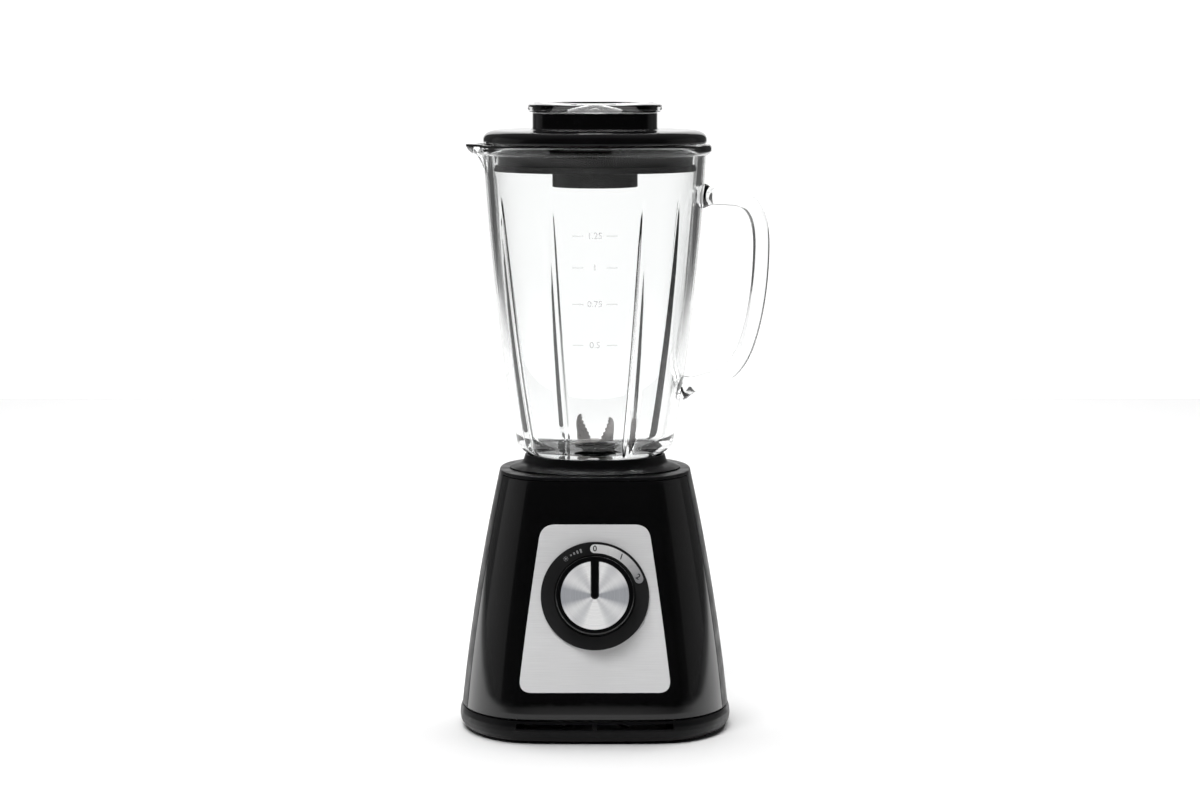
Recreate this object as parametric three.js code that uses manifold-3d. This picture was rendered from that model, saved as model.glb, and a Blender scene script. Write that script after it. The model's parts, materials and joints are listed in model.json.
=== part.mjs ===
// Countertop blender: a glass jar on a leaning squarish base with one speed dial.
//
// Millimetres, +Z up. The origin is on the drive axis, on the worktop. The front faces -Y, the
// jar's handle points to +X and its spout to -X. Every piece is a closed solid of its own, and
// pieces that touch in the real object keep a small gap (GAP) between them.

import * as THREE from 'three';
import { mergeVertices } from 'three/addons/utils/BufferGeometryUtils.js';
import Module from 'manifold-3d';

const wasm = await Module();
wasm.setup();

// ---------------------------------------------------------------- driving dimensions

const GAP = 0.3;

// Base, from the worktop up.
const UNDERSIDE_Z = 2;
const LABEL_PAD_DROP = 0.4;
const TRAY_TOP_Z = 14.5;
const TRAY_HALF_WIDTH = 86.8;
const TRAY_DEPTH_RATIO = 1.017;
const HOUSING_BOTTOM_Z = 15;
const DECK_TOP_Z = 165.6;
const DECK_THICKNESS = 2;
const HOUSING_BOTTOM_HALF_WIDTH = 85.5;
const HOUSING_BELLY_HALF_WIDTH = 77.7;
const HOUSING_TOP_HALF_WIDTH = 60.9;
const SHELL_THICKNESS = 2.6;

// Plan section of the base: a superellipse with its front and back pressed flat.
const SECTION_POWER = 2.3;
const SECTION_BULGE = 1.14;
const SECTION_BLEND = 16;

// Dial, on the leaning front face.
const DIAL_Z = 92.5;
const FACE_LEAN = THREE.MathUtils.degToRad(9.3);
const PLATE_TOP = 44.9;
const PLATE_BOTTOM = -60.6;
const PLATE_HALF_TOP = 33.9;
const PLATE_HALF_BOTTOM = 48.2;
const BEZEL_RADIUS = 34;
const KNOB_RADIUS = 24.6;
const KNOB_HEIGHT = 16;
const POINTER_WIDTH = 4.7;

// Jar and what stands on it.
const SEAT_RIM_Z = 174.6;
const SEAT_FLOOR_Z = 166.2;
const SEAT_INNER_RADIUS = 43.1;
const WELL_RADIUS = 20;
const WELL_FLOOR_Z = 144;
const JAR_FOOT_Z = SEAT_FLOOR_Z + GAP;
const JAR_FLOOR_Z = 173.2;
const JAR_RIM_Z = 373.2;
const JAR_WALL = 5.5;
const JAR_BOTTOM_RADIUS = 50;
const JAR_TOP_RADIUS = 71.5;
const JAR_RIM_RADIUS = 74.8;
const LID_RADIUS = 71.6;
const CHIMNEY_HALF_WIDTH = 40;
const CHIMNEY_TOP_Z = 393.6;
const CAP_HALF_WIDTH = 43.1;
const CAP_TOP_Z = 399;

// Drive line.
const MOTOR_SHAFT_RADIUS = 4;
const BLADE_SHAFT_RADIUS = 3;
const SWITCH_SHAFT_RADIUS = 3;
const BLADE_HUB_Z = 179.9;
const BLADE_THICKNESS = 1.2;

// ---------------------------------------------------------------- materials

function paint(color, roughness, metalness = 0) {
  return new THREE.MeshStandardMaterial({ color, roughness, metalness });
}

const GLOSS_BLACK = paint(0x0b0b0c, 0.08);
const MATTE_BLACK = paint(0x17181a, 0.5);
const BRUSHED_ALUMINIUM = paint(0xd9dadb, 0.35, 0.9);
const SPUN_METAL = paint(0xd4d6d8, 0.25, 1);
const STEEL = paint(0xb9b6b4, 0.3, 1);
const IRON = paint(0x5b5d60, 0.55, 0.8);
const COPPER = paint(0xb06a3a, 0.4, 0.9);
const BRASS = paint(0xc2a052, 0.35, 0.9);
const CARBON = paint(0x2a2a2c, 0.8);
const RUBBER = paint(0x101010, 0.85);
const NYLON = paint(0x2c2d30, 0.6);
const SCALE_WHITE = paint(0xe6e6e6, 0.4);
const GLASS = Object.assign(paint(0xf2f6f6, 0.03), { transparent: true, opacity: 0.35 });
const CLEAR_PLASTIC = Object.assign(paint(0xf4f4f4, 0.08), { transparent: true, opacity: 0.4 });

// ---------------------------------------------------------------- solids and booleans

// Only the positions of a geometry, its shared vertices merged and its faces pointing out.
function weld(geometry) {
  geometry.deleteAttribute('normal');
  geometry.deleteAttribute('uv');
  const merged = mergeVertices(geometry, 1e-4);
  const position = merged.attributes.position;
  const corner = (i) => new THREE.Vector3().fromBufferAttribute(position, i);
  const faces = [];
  let volume = 0;
  for (let i = 0; i < merged.index.count; i += 3) {
    const [a, b, c] = [0, 1, 2].map((k) => merged.index.getX(i + k));
    if (a === b || b === c || c === a) continue;
    faces.push([a, b, c]);
    volume += corner(a).dot(corner(b).cross(corner(c)));
  }
  merged.setIndex(faces.flatMap(([a, b, c]) => (volume > 0 ? [a, b, c] : [a, c, b])));
  return merged;
}

function solid(geometry) {
  const welded = weld(geometry);
  const vertProperties = new Float32Array(welded.attributes.position.array);
  const triVerts = new Uint32Array(welded.index.array);
  return new wasm.Manifold(new wasm.Mesh({ numProp: 3, vertProperties, triVerts }));
}

function geometryOf(body) {
  const mesh = body.getMesh();
  const geometry = new THREE.BufferGeometry();
  geometry.setAttribute('position', new THREE.BufferAttribute(mesh.vertProperties, 3));
  geometry.setIndex(new THREE.BufferAttribute(mesh.triVerts, 1));
  return geometry;
}

function joined(first, ...others) {
  return others.reduce((whole, other) => whole.add(other), first);
}

function cut(first, ...others) {
  return others.reduce((whole, other) => whole.subtract(other), first);
}

// ---------------------------------------------------------------- shape helpers

// A solid of revolution about Z from a closed profile of [radius, height] points.
function turned(profile, segments = 32) {
  const points = profile.map((p) => (p.isVector2 ? p : new THREE.Vector2(p[0], p[1])));
  const onAxis = points[0].x < 1e-6 && points[points.length - 1].x < 1e-6;
  if (!onAxis) points.push(points[0].clone());
  return solid(new THREE.LatheGeometry(points, segments).rotateX(Math.PI / 2));
}

function ring(innerRadius, outerRadius, z0, z1, segments = 16) {
  return turned([[innerRadius, z0], [outerRadius, z0], [outerRadius, z1], [innerRadius, z1]], segments);
}

function rod(radius, z0, z1, segments = 16, x = 0, y = 0) {
  const geometry = new THREE.CylinderGeometry(radius, radius, z1 - z0, segments);
  return solid(geometry.rotateX(Math.PI / 2).translate(x, y, (z0 + z1) / 2));
}

// A box from its two opposite corners.
function block([x0, y0, z0], [x1, y1, z1]) {
  const geometry = new THREE.BoxGeometry(x1 - x0, y1 - y0, z1 - z0);
  return solid(geometry.translate((x0 + x1) / 2, (y0 + y1) / 2, (z0 + z1) / 2));
}

function prism(shape, z0, z1, curveSegments = 6) {
  const options = { depth: z1 - z0, bevelEnabled: false, curveSegments };
  return solid(new THREE.ExtrudeGeometry(shape, options).translate(0, 0, z0));
}

// A closed solid through rings of the same number of points, with a flat fan at each end.
function loft(rings) {
  const count = rings[0].length;
  const points = rings.flat();
  const index = [];
  for (let k = 0; k + 1 < rings.length; k += 1) {
    for (let i = 0; i < count; i += 1) {
      const a = k * count + i;
      const b = k * count + ((i + 1) % count);
      index.push(a, b, b + count, a, b + count, a + count);
    }
  }
  [rings[0], rings[rings.length - 1]].forEach((end, side) => {
    const centre = end.reduce((sum, p) => sum.add(p), new THREE.Vector3()).divideScalar(count);
    const first = side * (rings.length - 1) * count;
    points.push(centre);
    for (let i = 0; i < count; i += 1) {
      const a = first + i;
      const b = first + ((i + 1) % count);
      index.push(points.length - 1, side ? a : b, side ? b : a);
    }
  });
  const geometry = new THREE.BufferGeometry().setFromPoints(points);
  geometry.setIndex(index);
  return solid(geometry);
}

function circleOf(count, place) {
  return Array.from({ length: count }, (_, i) => place((2 * Math.PI * i) / count, i));
}

// A level superellipse ring, as the chimney and the measuring cap have.
function squircleRing(halfWidth, z, power, count) {
  const axis = (value) => Math.sign(value) * Math.abs(value) ** (2 / power) * halfWidth;
  return circleOf(count, (angle) => new THREE.Vector3(axis(Math.cos(angle)), axis(Math.sin(angle)), z));
}

// The smaller of two positive numbers, with a soft change from one to the other.
function softMin(a, b) {
  return a < 1e-6 ? a : (a ** -SECTION_BLEND + b ** -SECTION_BLEND) ** (-1 / SECTION_BLEND);
}

function baseRing(halfWidth, halfDepth, z, count) {
  const scale = halfDepth / softMin(SECTION_BULGE, 1);
  return circleOf(count, (angle) => {
    const across = Math.abs(Math.cos(angle)) ** (2 / SECTION_POWER);
    const along = softMin(SECTION_BULGE * Math.abs(Math.sin(angle)) ** (2 / SECTION_POWER), 1);
    const x = Math.sign(Math.cos(angle)) * across * halfWidth;
    const y = Math.sign(Math.sin(angle)) * along * scale;
    return new THREE.Vector3(x, y, z);
  });
}

// The housing's half-width at a height: a gentle curve that leans in towards the top.
function housingHalfWidth(z) {
  const lowest = 13.4;
  const t = (z - lowest) / (DECK_TOP_Z - lowest);
  const belly = 2 * t * (1 - t) * HOUSING_BELLY_HALF_WIDTH;
  return HOUSING_BOTTOM_HALF_WIDTH * (1 - t) ** 2 + belly + HOUSING_TOP_HALF_WIDTH * t ** 2;
}

function housingSolid(z0, z1, inset, levels = 3, count = 36) {
  const rings = [];
  for (let k = 0; k <= levels; k += 1) {
    const z = z0 + ((z1 - z0) * k) / levels;
    const halfWidth = housingHalfWidth(z) - inset;
    rings.push(baseRing(halfWidth, halfWidth, z, count));
  }
  return loft(rings);
}

const SEAM = 0.4;

// Everything in front of the leaning plane where the front panel meets the rear shell.
function frontOfSplit(shift) {
  const bottomY = -38;
  const topY = -27;
  const reach = 120;
  const profile = new THREE.Shape();
  profile.moveTo(bottomY + shift, 0);
  profile.lineTo(topY + shift, DECK_TOP_Z - DECK_THICKNESS);
  profile.lineTo(-reach, DECK_TOP_Z - DECK_THICKNESS);
  profile.lineTo(-reach, 0);
  const options = { depth: 2 * reach, bevelEnabled: false };
  const geometry = new THREE.ExtrudeGeometry(profile, options);
  return solid(geometry.applyMatrix4(new THREE.Matrix4().set(
    0, 0, 1, -reach,
    1, 0, 0, 0,
    0, 1, 0, 0,
    0, 0, 0, 1,
  )));
}

// ---------------------------------------------------------------- scene graph

const blender = new THREE.Group();

// The dial's own frame: X across, Y up the leaning face, Z out of it.
const dialFrame = new THREE.Group();
dialFrame.position.set(0, -housingHalfWidth(DIAL_Z), DIAL_Z);
dialFrame.rotation.x = Math.PI / 2 - FACE_LEAN;
dialFrame.updateMatrix();
blender.add(dialFrame);

function piece(name, body, material, parent = blender) {
  const mesh = new THREE.Mesh(geometryOf(body), material);
  mesh.name = name;
  parent.add(mesh);
  return mesh;
}

// A solid made in the dial's frame, moved to where it lies on the blender.
function onFace(body) {
  return solid(geometryOf(body).applyMatrix4(dialFrame.matrix));
}

// ---------------------------------------------------------------- base casing

const HOUSING_SCREWS = [[-50, -64], [50, -64], [-50, 64], [50, 64]];
const FEET = [[-62, -50], [62, -50], [-62, 50], [62, 50]];
const MOTOR_MOUNTS = [[-44, -26], [44, -26], [-44, 26], [44, 26]];
const TRAY_FLOOR_TOP = 4.5;
const TRAY_HALF_DEPTH = TRAY_HALF_WIDTH * TRAY_DEPTH_RATIO;
const SCREW_HEAD = { z: 5.4, radius: 3.4, height: 2.2 };
const SCREW_THREAD_RADIUS = 1.5;
const PILOT_RADIUS = 1.8;
const FOOT_STEM_RADIUS = 4.7;

function baseTray() {
  const count = 36;
  const wall = 4.1;
  const ringAt = (halfWidth, z) => baseRing(halfWidth, halfWidth * TRAY_DEPTH_RATIO, z, count);
  const bulge = [[-2.6, UNDERSIDE_Z], [-0.5, 5], [0, 8], [-0.3, 11], [-1.5, TRAY_TOP_Z]];
  const outside = loft(bulge.map(([out, z]) => ringAt(TRAY_HALF_WIDTH + out, z)));
  const insideWidth = TRAY_HALF_WIDTH - wall;
  const inside = loft([ringAt(insideWidth, TRAY_FLOOR_TOP), ringAt(insideWidth, TRAY_TOP_Z + 1)]);
  const labelPad = rod(28, UNDERSIDE_Z - LABEL_PAD_DROP, UNDERSIDE_Z + 0.5, 32);
  let tray = joined(cut(outside, inside), labelPad);
  for (const [x, y] of HOUSING_SCREWS) {
    const boss = { radius: 5.6, top: 12, ceiling: 8 };
    tray = joined(tray, rod(boss.radius, TRAY_FLOOR_TOP - 0.5, boss.top, 12, x, y));
    const headRecess = rod(SCREW_HEAD.radius + 0.4, 0, boss.ceiling, 12, x, y);
    tray = cut(tray, headRecess, rod(SCREW_THREAD_RADIUS + 0.4, 0, boss.top + 1, 8, x, y));
  }
  for (const [x, y] of FEET) {
    tray = cut(tray, rod(FOOT_STEM_RADIUS + 0.5, 0, TRAY_FLOOR_TOP + 1.5, 12, x, y));
  }
  return cut(tray, ...intakeSlots(), frontSlit(), glandHole());
}

// Air slots in a fan under the motor.
function intakeSlots() {
  const slots = 8;
  const [middleRadius, length, width] = [44, 18, 3.6];
  const height = 10;
  return circleOf(slots, (angle) => {
    const slot = new THREE.BoxGeometry(length, width, height);
    return solid(slot.translate(middleRadius, 0, height / 2 - 1).rotateZ(angle + Math.PI / slots));
  });
}

// The narrow mouth in the middle of the tray's front edge, with a nub at its centre.
function frontSlit() {
  const [halfWidth, low, high] = [49.5, 9.5, 13];
  const nub = 1.2;
  const [front, back] = [-95, -80];
  const mouth = block([-halfWidth, front, low], [halfWidth, back, high]);
  return cut(mouth, block([-nub, front, low - 0.5], [nub, back, high + 0.5]));
}

const GLAND = { z: 8.2, hole: 4.6, bore: 3, length: 5 };

function glandHole() {
  const geometry = new THREE.CylinderGeometry(GLAND.hole, GLAND.hole, 14, 14);
  return solid(geometry.translate(0, TRAY_HALF_DEPTH - 3, GLAND.z));
}

// A short bush in the tray's rear wall, where a mains lead would come through.
function cordGland() {
  const bush = geometryOf(ring(GLAND.bore, GLAND.hole - GAP, 0, GLAND.length, 14)).rotateX(-Math.PI / 2);
  return solid(bush.translate(0, TRAY_HALF_DEPTH - GLAND.length - 0.2, GLAND.z));
}

// A round rubber foot: a flat pad, and a stem that snaps through the tray's floor.
function foot(x, y) {
  const padRadius = 9;
  const shoulder = UNDERSIDE_Z - GAP;
  const barb = TRAY_FLOOR_TOP + GAP;
  const top = 7;
  const profile = [[0, 0], [padRadius - 0.3, 0], [padRadius, shoulder], [FOOT_STEM_RADIUS, shoulder],
    [FOOT_STEM_RADIUS, barb], [6, barb], [4, top], [0, top]];
  return solid(geometryOf(turned(profile, 12)).translate(x, y, 0));
}

// A self-tapping screw standing on its head, with its tip up.
function screw(x, y, headZ, length) {
  const { radius, height } = SCREW_HEAD;
  const pointLength = 2;
  const profile = [[0, headZ], [radius - 0.5, headZ], [radius, headZ + 0.6], [radius, headZ + height],
    [SCREW_THREAD_RADIUS, headZ + height], [SCREW_THREAD_RADIUS, headZ + length - pointLength],
    [0, headZ + length]];
  return solid(geometryOf(turned(profile, 8)).translate(x, y, 0));
}

// A screw boss that stands off a casing wall on a rib.
function wallBoss(x, y) {
  const [low, high] = [17, 40];
  const radius = 4.4;
  const ribHalf = 1.2;
  const post = rod(radius, low, high, 10, x, y);
  const wallY = Math.sign(y) * 76.5;
  const rib = block([x - ribHalf, Math.min(y, wallY), low + 3], [x + ribHalf, Math.max(y, wallY), high]);
  return cut(joined(post, rib), rod(PILOT_RADIUS, low - 1, high - 4, 8, x, y));
}

// The trapezoid of the front plate, grown by a margin, with round corners and slightly full sides.
function plateShape(margin) {
  const corner = 9;
  const fullness = 0.8;
  const [top, bottom] = [PLATE_TOP + margin, PLATE_BOTTOM - margin];
  const halfTop = PLATE_HALF_TOP + margin;
  const halfBottom = PLATE_HALF_BOTTOM + margin;
  const run = (halfBottom - halfTop) / (top - bottom);
  const sideMiddle = (halfTop + halfBottom) / 2 + fullness;
  const shape = new THREE.Shape();
  shape.moveTo(-halfBottom + corner, bottom);
  shape.lineTo(halfBottom - corner, bottom);
  shape.quadraticCurveTo(halfBottom, bottom, halfBottom - corner * run, bottom + corner);
  shape.quadraticCurveTo(sideMiddle, (top + bottom) / 2, halfTop + corner * run, top - corner);
  shape.quadraticCurveTo(halfTop, top, halfTop - corner, top);
  shape.lineTo(-halfTop + corner, top);
  shape.quadraticCurveTo(-halfTop, top, -halfTop - corner * run, top - corner);
  shape.quadraticCurveTo(-sideMiddle, (top + bottom) / 2, -halfBottom + corner * run, bottom + corner);
  shape.quadraticCurveTo(-halfBottom, bottom, -halfBottom + corner, bottom);
  return shape;
}

const RECESS_DEPTH = 1.2;
const MOUNT_POST_Z = 142;

function frontPanel() {
  const top = DECK_TOP_Z - DECK_THICKNESS - SEAM;
  const outside = housingSolid(HOUSING_BOTTOM_Z, top, 0);
  const inside = housingSolid(HOUSING_BOTTOM_Z - 5, top + 5, SHELL_THICKNESS);
  const wall = cut(outside, inside).intersect(frontOfSplit(-SEAM));
  const [recessMargin, backingMargin, backingThickness] = [4, 6, 2.2];
  const backing = prism(plateShape(backingMargin), -RECESS_DEPTH - backingThickness, -RECESS_DEPTH + 0.4);
  const recess = prism(plateShape(recessMargin), -RECESS_DEPTH, 10);
  const shaftHole = rod(5, -10, 10, 20);
  const panel = joined(wall, onFace(backing), wallBoss(...HOUSING_SCREWS[0]), wallBoss(...HOUSING_SCREWS[1]));
  return cut(panel, onFace(recess), onFace(shaftHole));
}

function rearShell() {
  const outside = housingSolid(HOUSING_BOTTOM_Z, DECK_TOP_Z, 0);
  const inside = housingSolid(HOUSING_BOTTOM_Z - 5, DECK_TOP_Z - DECK_THICKNESS, SHELL_THICKNESS);
  let shell = cut(outside, inside, frontOfSplit(0));
  shell = cut(shell, rod(SEAT_INNER_RADIUS + 0.9, DECK_TOP_Z - 5, DECK_TOP_Z + 5, 40));
  for (const [x, y] of MOTOR_MOUNTS) {
    const post = rod(4.6, MOUNT_POST_Z, DECK_TOP_Z - 1, 10, x, y);
    shell = joined(shell, cut(post, rod(PILOT_RADIUS, MOUNT_POST_Z - 1, MOUNT_POST_Z + 14, 8, x, y)));
  }
  shell = joined(shell, wallBoss(...HOUSING_SCREWS[2]), wallBoss(...HOUSING_SCREWS[3]));
  return cut(shell, ...rearVents());
}

// Level outlet slots in the rear wall.
function rearVents() {
  const slots = 6;
  const pitch = 7;
  const lowest = 48;
  const [halfWidth, height] = [26, 3];
  return Array.from({ length: slots }, (_, k) => {
    const z = lowest + k * pitch;
    return block([-halfWidth, 60, z], [halfWidth, 100, z + height]);
  });
}

// The collar that the jar stands in, with the well that takes the coupling.
function jarSeat() {
  const [wall, floorWall] = [2, 2.2];
  const shaftHole = 8;
  const skirtRadius = 54.8;
  const path = new THREE.Path();
  path.moveTo(shaftHole, WELL_FLOOR_Z - wall);
  path.lineTo(WELL_RADIUS + wall, WELL_FLOOR_Z - wall);
  path.lineTo(WELL_RADIUS + wall, SEAT_FLOOR_Z - floorWall);
  path.lineTo(SEAT_INNER_RADIUS, SEAT_FLOOR_Z - floorWall);
  path.lineTo(SEAT_INNER_RADIUS + 0.3, DECK_TOP_Z + GAP);
  path.lineTo(skirtRadius - 0.8, DECK_TOP_Z + GAP);
  path.lineTo(skirtRadius, DECK_TOP_Z + 0.8);
  path.quadraticCurveTo(skirtRadius - 3.8, DECK_TOP_Z + 2.8, skirtRadius - 6.4, DECK_TOP_Z + 3.4);
  path.quadraticCurveTo(skirtRadius - 8.9, DECK_TOP_Z + 4.2, skirtRadius - 9.3, DECK_TOP_Z + 6.4);
  path.lineTo(SEAT_INNER_RADIUS + 1.7, SEAT_RIM_Z - 0.4);
  path.lineTo(SEAT_INNER_RADIUS + 1.1, SEAT_RIM_Z);
  path.lineTo(SEAT_INNER_RADIUS, SEAT_RIM_Z - 0.4);
  path.lineTo(SEAT_INNER_RADIUS - 1, SEAT_FLOOR_Z + 2.8);
  path.lineTo(SEAT_INNER_RADIUS - 4.5, SEAT_FLOOR_Z);
  path.lineTo(WELL_RADIUS, SEAT_FLOOR_Z);
  path.lineTo(WELL_RADIUS, WELL_FLOOR_Z);
  path.lineTo(shaftHole, WELL_FLOOR_Z);
  return turned(path.getPoints(2), 28);
}

piece('base_tray', baseTray(), MATTE_BLACK);
piece('front_panel', frontPanel(), GLOSS_BLACK);
piece('rear_shell', rearShell(), MATTE_BLACK);
piece('jar_seat', jarSeat(), MATTE_BLACK);
piece('cord_gland', cordGland(), RUBBER);
FEET.forEach(([x, y], i) => piece(`foot_${i + 1}`, foot(x, y), RUBBER));
HOUSING_SCREWS.forEach(([x, y], i) => piece(`housing_screw_${i + 1}`, screw(x, y, SCREW_HEAD.z, 26), STEEL));

// ---------------------------------------------------------------- dial and speed switch

const SCALE_START = THREE.MathUtils.degToRad(-4);
const SCALE_END = THREE.MathUtils.degToRad(72);

const BEZEL_DISH_RADIUS = 30.6;
const BEZEL_FACE = 2.2;
const SCALE_RING = { inner: 26.9, outer: 32.4 };

// A flat arc band, its angles measured clockwise from the top.
function arcBand(innerRadius, outerRadius, start, end) {
  const shape = new THREE.Shape();
  const [from, to] = [Math.PI / 2 - start, Math.PI / 2 - end];
  shape.absarc(0, 0, outerRadius, from, to, true);
  shape.absarc(0, 0, innerRadius, to, from, false);
  shape.closePath();
  return shape;
}

function fasciaPlate() {
  const thickness = 0.8;
  const back = -RECESS_DEPTH + GAP;
  const window = rod(BEZEL_DISH_RADIUS + 0.4, -5, 5, 32);
  return cut(prism(plateShape(0), back, back + thickness), window);
}

function dialBezel() {
  const [back, face] = [0.2, BEZEL_FACE];
  const floor = -0.9;
  const well = 25;
  const bore = 6;
  const dish = turned([[bore, floor], [BEZEL_DISH_RADIUS, floor], [BEZEL_DISH_RADIUS, back],
    [BEZEL_RADIUS, back], [BEZEL_RADIUS, face - 0.6], [BEZEL_RADIUS - 0.6, face], [well + 0.6, face],
    [well, face - 0.9], [bore, face - 0.9]], 28);
  const margin = THREE.MathUtils.degToRad(1);
  const { inner, outer } = SCALE_RING;
  const groove = arcBand(inner - GAP, outer + GAP, SCALE_START - margin, SCALE_END + margin);
  return cut(dish, prism(groove, face - 0.6, face + 1, 10));
}

function dialScale() {
  const band = arcBand(SCALE_RING.inner, SCALE_RING.outer, SCALE_START, SCALE_END);
  return prism(band, BEZEL_FACE - GAP, BEZEL_FACE + 0.15, 10);
}

const KNOB_BASE = 2.5;
const KNOB_TOP = KNOB_BASE + KNOB_HEIGHT;
const DISC_RADIUS = 21.3;
const DISC_RECESS = 1.2;
const POINTER_OUTER = KNOB_RADIUS - 1.4;

// The knob's raised pointer: a bar from its rim to just past its centre, with a round end.
function pointerShape(halfWidth) {
  const shape = new THREE.Shape();
  shape.absarc(0, 0.3, halfWidth, Math.PI, 2 * Math.PI, false);
  shape.lineTo(halfWidth, POINTER_OUTER);
  shape.lineTo(-halfWidth, POINTER_OUTER);
  shape.closePath();
  return shape;
}

function speedKnob() {
  const skin = 2;
  const hub = 6.5;
  const bore = SWITCH_SHAFT_RADIUS + 0.4;
  const hollow = KNOB_RADIUS - 2.6;
  const seat = KNOB_TOP - DISC_RECESS;
  const cup = turned([[0, seat - skin - 0.6], [bore, seat - skin - 0.6], [bore, KNOB_BASE + 1],
    [hub, KNOB_BASE + 1], [hub, seat - skin], [hollow, seat - skin], [hollow + 0.6, KNOB_BASE],
    [KNOB_RADIUS, KNOB_BASE], [KNOB_RADIUS - 0.2, KNOB_TOP - 1], [KNOB_RADIUS - 1.2, KNOB_TOP],
    [DISC_RADIUS + GAP, KNOB_TOP - 0.2], [DISC_RADIUS + GAP, seat], [0, seat]], 28);
  return joined(cup, prism(pointerShape(POINTER_WIDTH / 2), seat - 0.5, KNOB_TOP + 0.6));
}

function knobDisc() {
  const thickness = 0.7;
  const back = KNOB_TOP - DISC_RECESS + GAP;
  const disc = rod(DISC_RADIUS, back, back + thickness, 40);
  return cut(disc, prism(pointerShape(POINTER_WIDTH / 2 + GAP), 0, 30));
}

const SWITCH_BACK = -24;
const SWITCH_SHAFT_BACK = SWITCH_BACK + 4;

function switchBody() {
  const half = 14;
  const front = -5;
  const bushingRadius = 4.6;
  const box = block([-half, -half, SWITCH_BACK], [half, half, front]);
  const bushing = rod(bushingRadius, front - 1, -1.3, 16);
  return cut(joined(box, bushing), rod(SWITCH_SHAFT_RADIUS + GAP, SWITCH_SHAFT_BACK, 5, 16));
}

function switchShaft() {
  return rod(SWITCH_SHAFT_RADIUS, SWITCH_SHAFT_BACK + GAP, KNOB_TOP - 4.2, 16);
}

piece('fascia_plate', fasciaPlate(), BRUSHED_ALUMINIUM, dialFrame);
piece('dial_bezel', dialBezel(), MATTE_BLACK, dialFrame);
piece('dial_scale', dialScale(), SCALE_WHITE, dialFrame);
piece('switch_body', switchBody(), NYLON, dialFrame);
piece('speed_knob', speedKnob(), GLOSS_BLACK, dialFrame);
piece('knob_disc', knobDisc(), SPUN_METAL, dialFrame);
piece('switch_shaft', switchShaft(), NYLON, dialFrame);

// ---------------------------------------------------------------- motor

const STACK = { z0: 70, z1: 112, bore: 20.5, halfX: 42, halfY: 30 };
const POLE_HALF_WIDTH = 12;
const POLE_TIP_Y = 15.5;
const WINDOW = { x0: 23.5, x1: 34.5, y1: 22.5 };

function statorCore() {
  const { z0, z1, halfX, halfY } = STACK;
  const chamfer = 8;
  const outline = new THREE.Shape();
  outline.moveTo(-halfX + chamfer, -halfY);
  outline.lineTo(halfX - chamfer, -halfY);
  outline.lineTo(halfX, -halfY + chamfer);
  outline.lineTo(halfX, halfY - chamfer);
  outline.lineTo(halfX - chamfer, halfY);
  outline.lineTo(-halfX + chamfer, halfY);
  outline.lineTo(-halfX, halfY - chamfer);
  outline.lineTo(-halfX, -halfY + chamfer);
  let core = cut(prism(outline, z0, z1), rod(STACK.bore, z0 - 1, z1 + 1, 32));
  for (const side of [-1, 1]) {
    const [lowY, highY] = [side * POLE_HALF_WIDTH, side * WINDOW.y1].sort((a, b) => a - b);
    core = cut(core, block([WINDOW.x0, lowY, z0 - 1], [WINDOW.x1, highY, z1 + 1]));
    core = cut(core, block([-WINDOW.x1, lowY, z0 - 1], [-WINDOW.x0, highY, z1 + 1]));
    const [tipY, endY] = [side * POLE_TIP_Y, side * WINDOW.y1].sort((a, b) => a - b);
    core = cut(core, block([-WINDOW.x1, tipY, z0 - 1], [WINDOW.x1, endY, z1 + 1]));
  }
  return core;
}

// One field coil, wound round the neck of its pole, with its axis along X.
function fieldCoil(side) {
  const margin = 0.5;
  const endTurn = 9;
  const outer = new THREE.Shape();
  const halfY = WINDOW.y1 - margin;
  const halfZ = (STACK.z1 - STACK.z0) / 2 + endTurn;
  const round = 6;
  outer.moveTo(-halfY + round, -halfZ);
  outer.lineTo(halfY - round, -halfZ);
  outer.quadraticCurveTo(halfY, -halfZ, halfY, -halfZ + round);
  outer.lineTo(halfY, halfZ - round);
  outer.quadraticCurveTo(halfY, halfZ, halfY - round, halfZ);
  outer.lineTo(-halfY + round, halfZ);
  outer.quadraticCurveTo(-halfY, halfZ, -halfY, halfZ - round);
  outer.lineTo(-halfY, -halfZ + round);
  outer.quadraticCurveTo(-halfY, -halfZ, -halfY + round, -halfZ);
  const thickness = WINDOW.x1 - WINDOW.x0 - 2 * margin;
  const innerY = POLE_HALF_WIDTH + margin;
  const innerZ = (STACK.z1 - STACK.z0) / 2 + margin;
  const core = block([-innerY, -innerZ, -1], [innerY, innerZ, thickness + 1]);
  const coil = cut(prism(outer, 0, thickness, 4), core);
  const upright = geometryOf(coil).rotateX(Math.PI / 2).rotateZ(Math.PI / 2);
  const x = side > 0 ? WINDOW.x0 + margin : -WINDOW.x1 + margin;
  return solid(upright.translate(x, 0, (STACK.z0 + STACK.z1) / 2));
}

const UPPER_BRACKET_Z = 133;
const LOWER_BRACKET_Z = 38;
const BRACKET_THICKNESS = 3;
const BEARING = { inner: MOTOR_SHAFT_RADIUS + GAP, outer: 10, height: 6 };
const BEARING_CUP_RADIUS = 13;
const SHAFT_OPENING_RADIUS = 7;
const MOUNT_BOLT_HOLE = 2.4;

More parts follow.
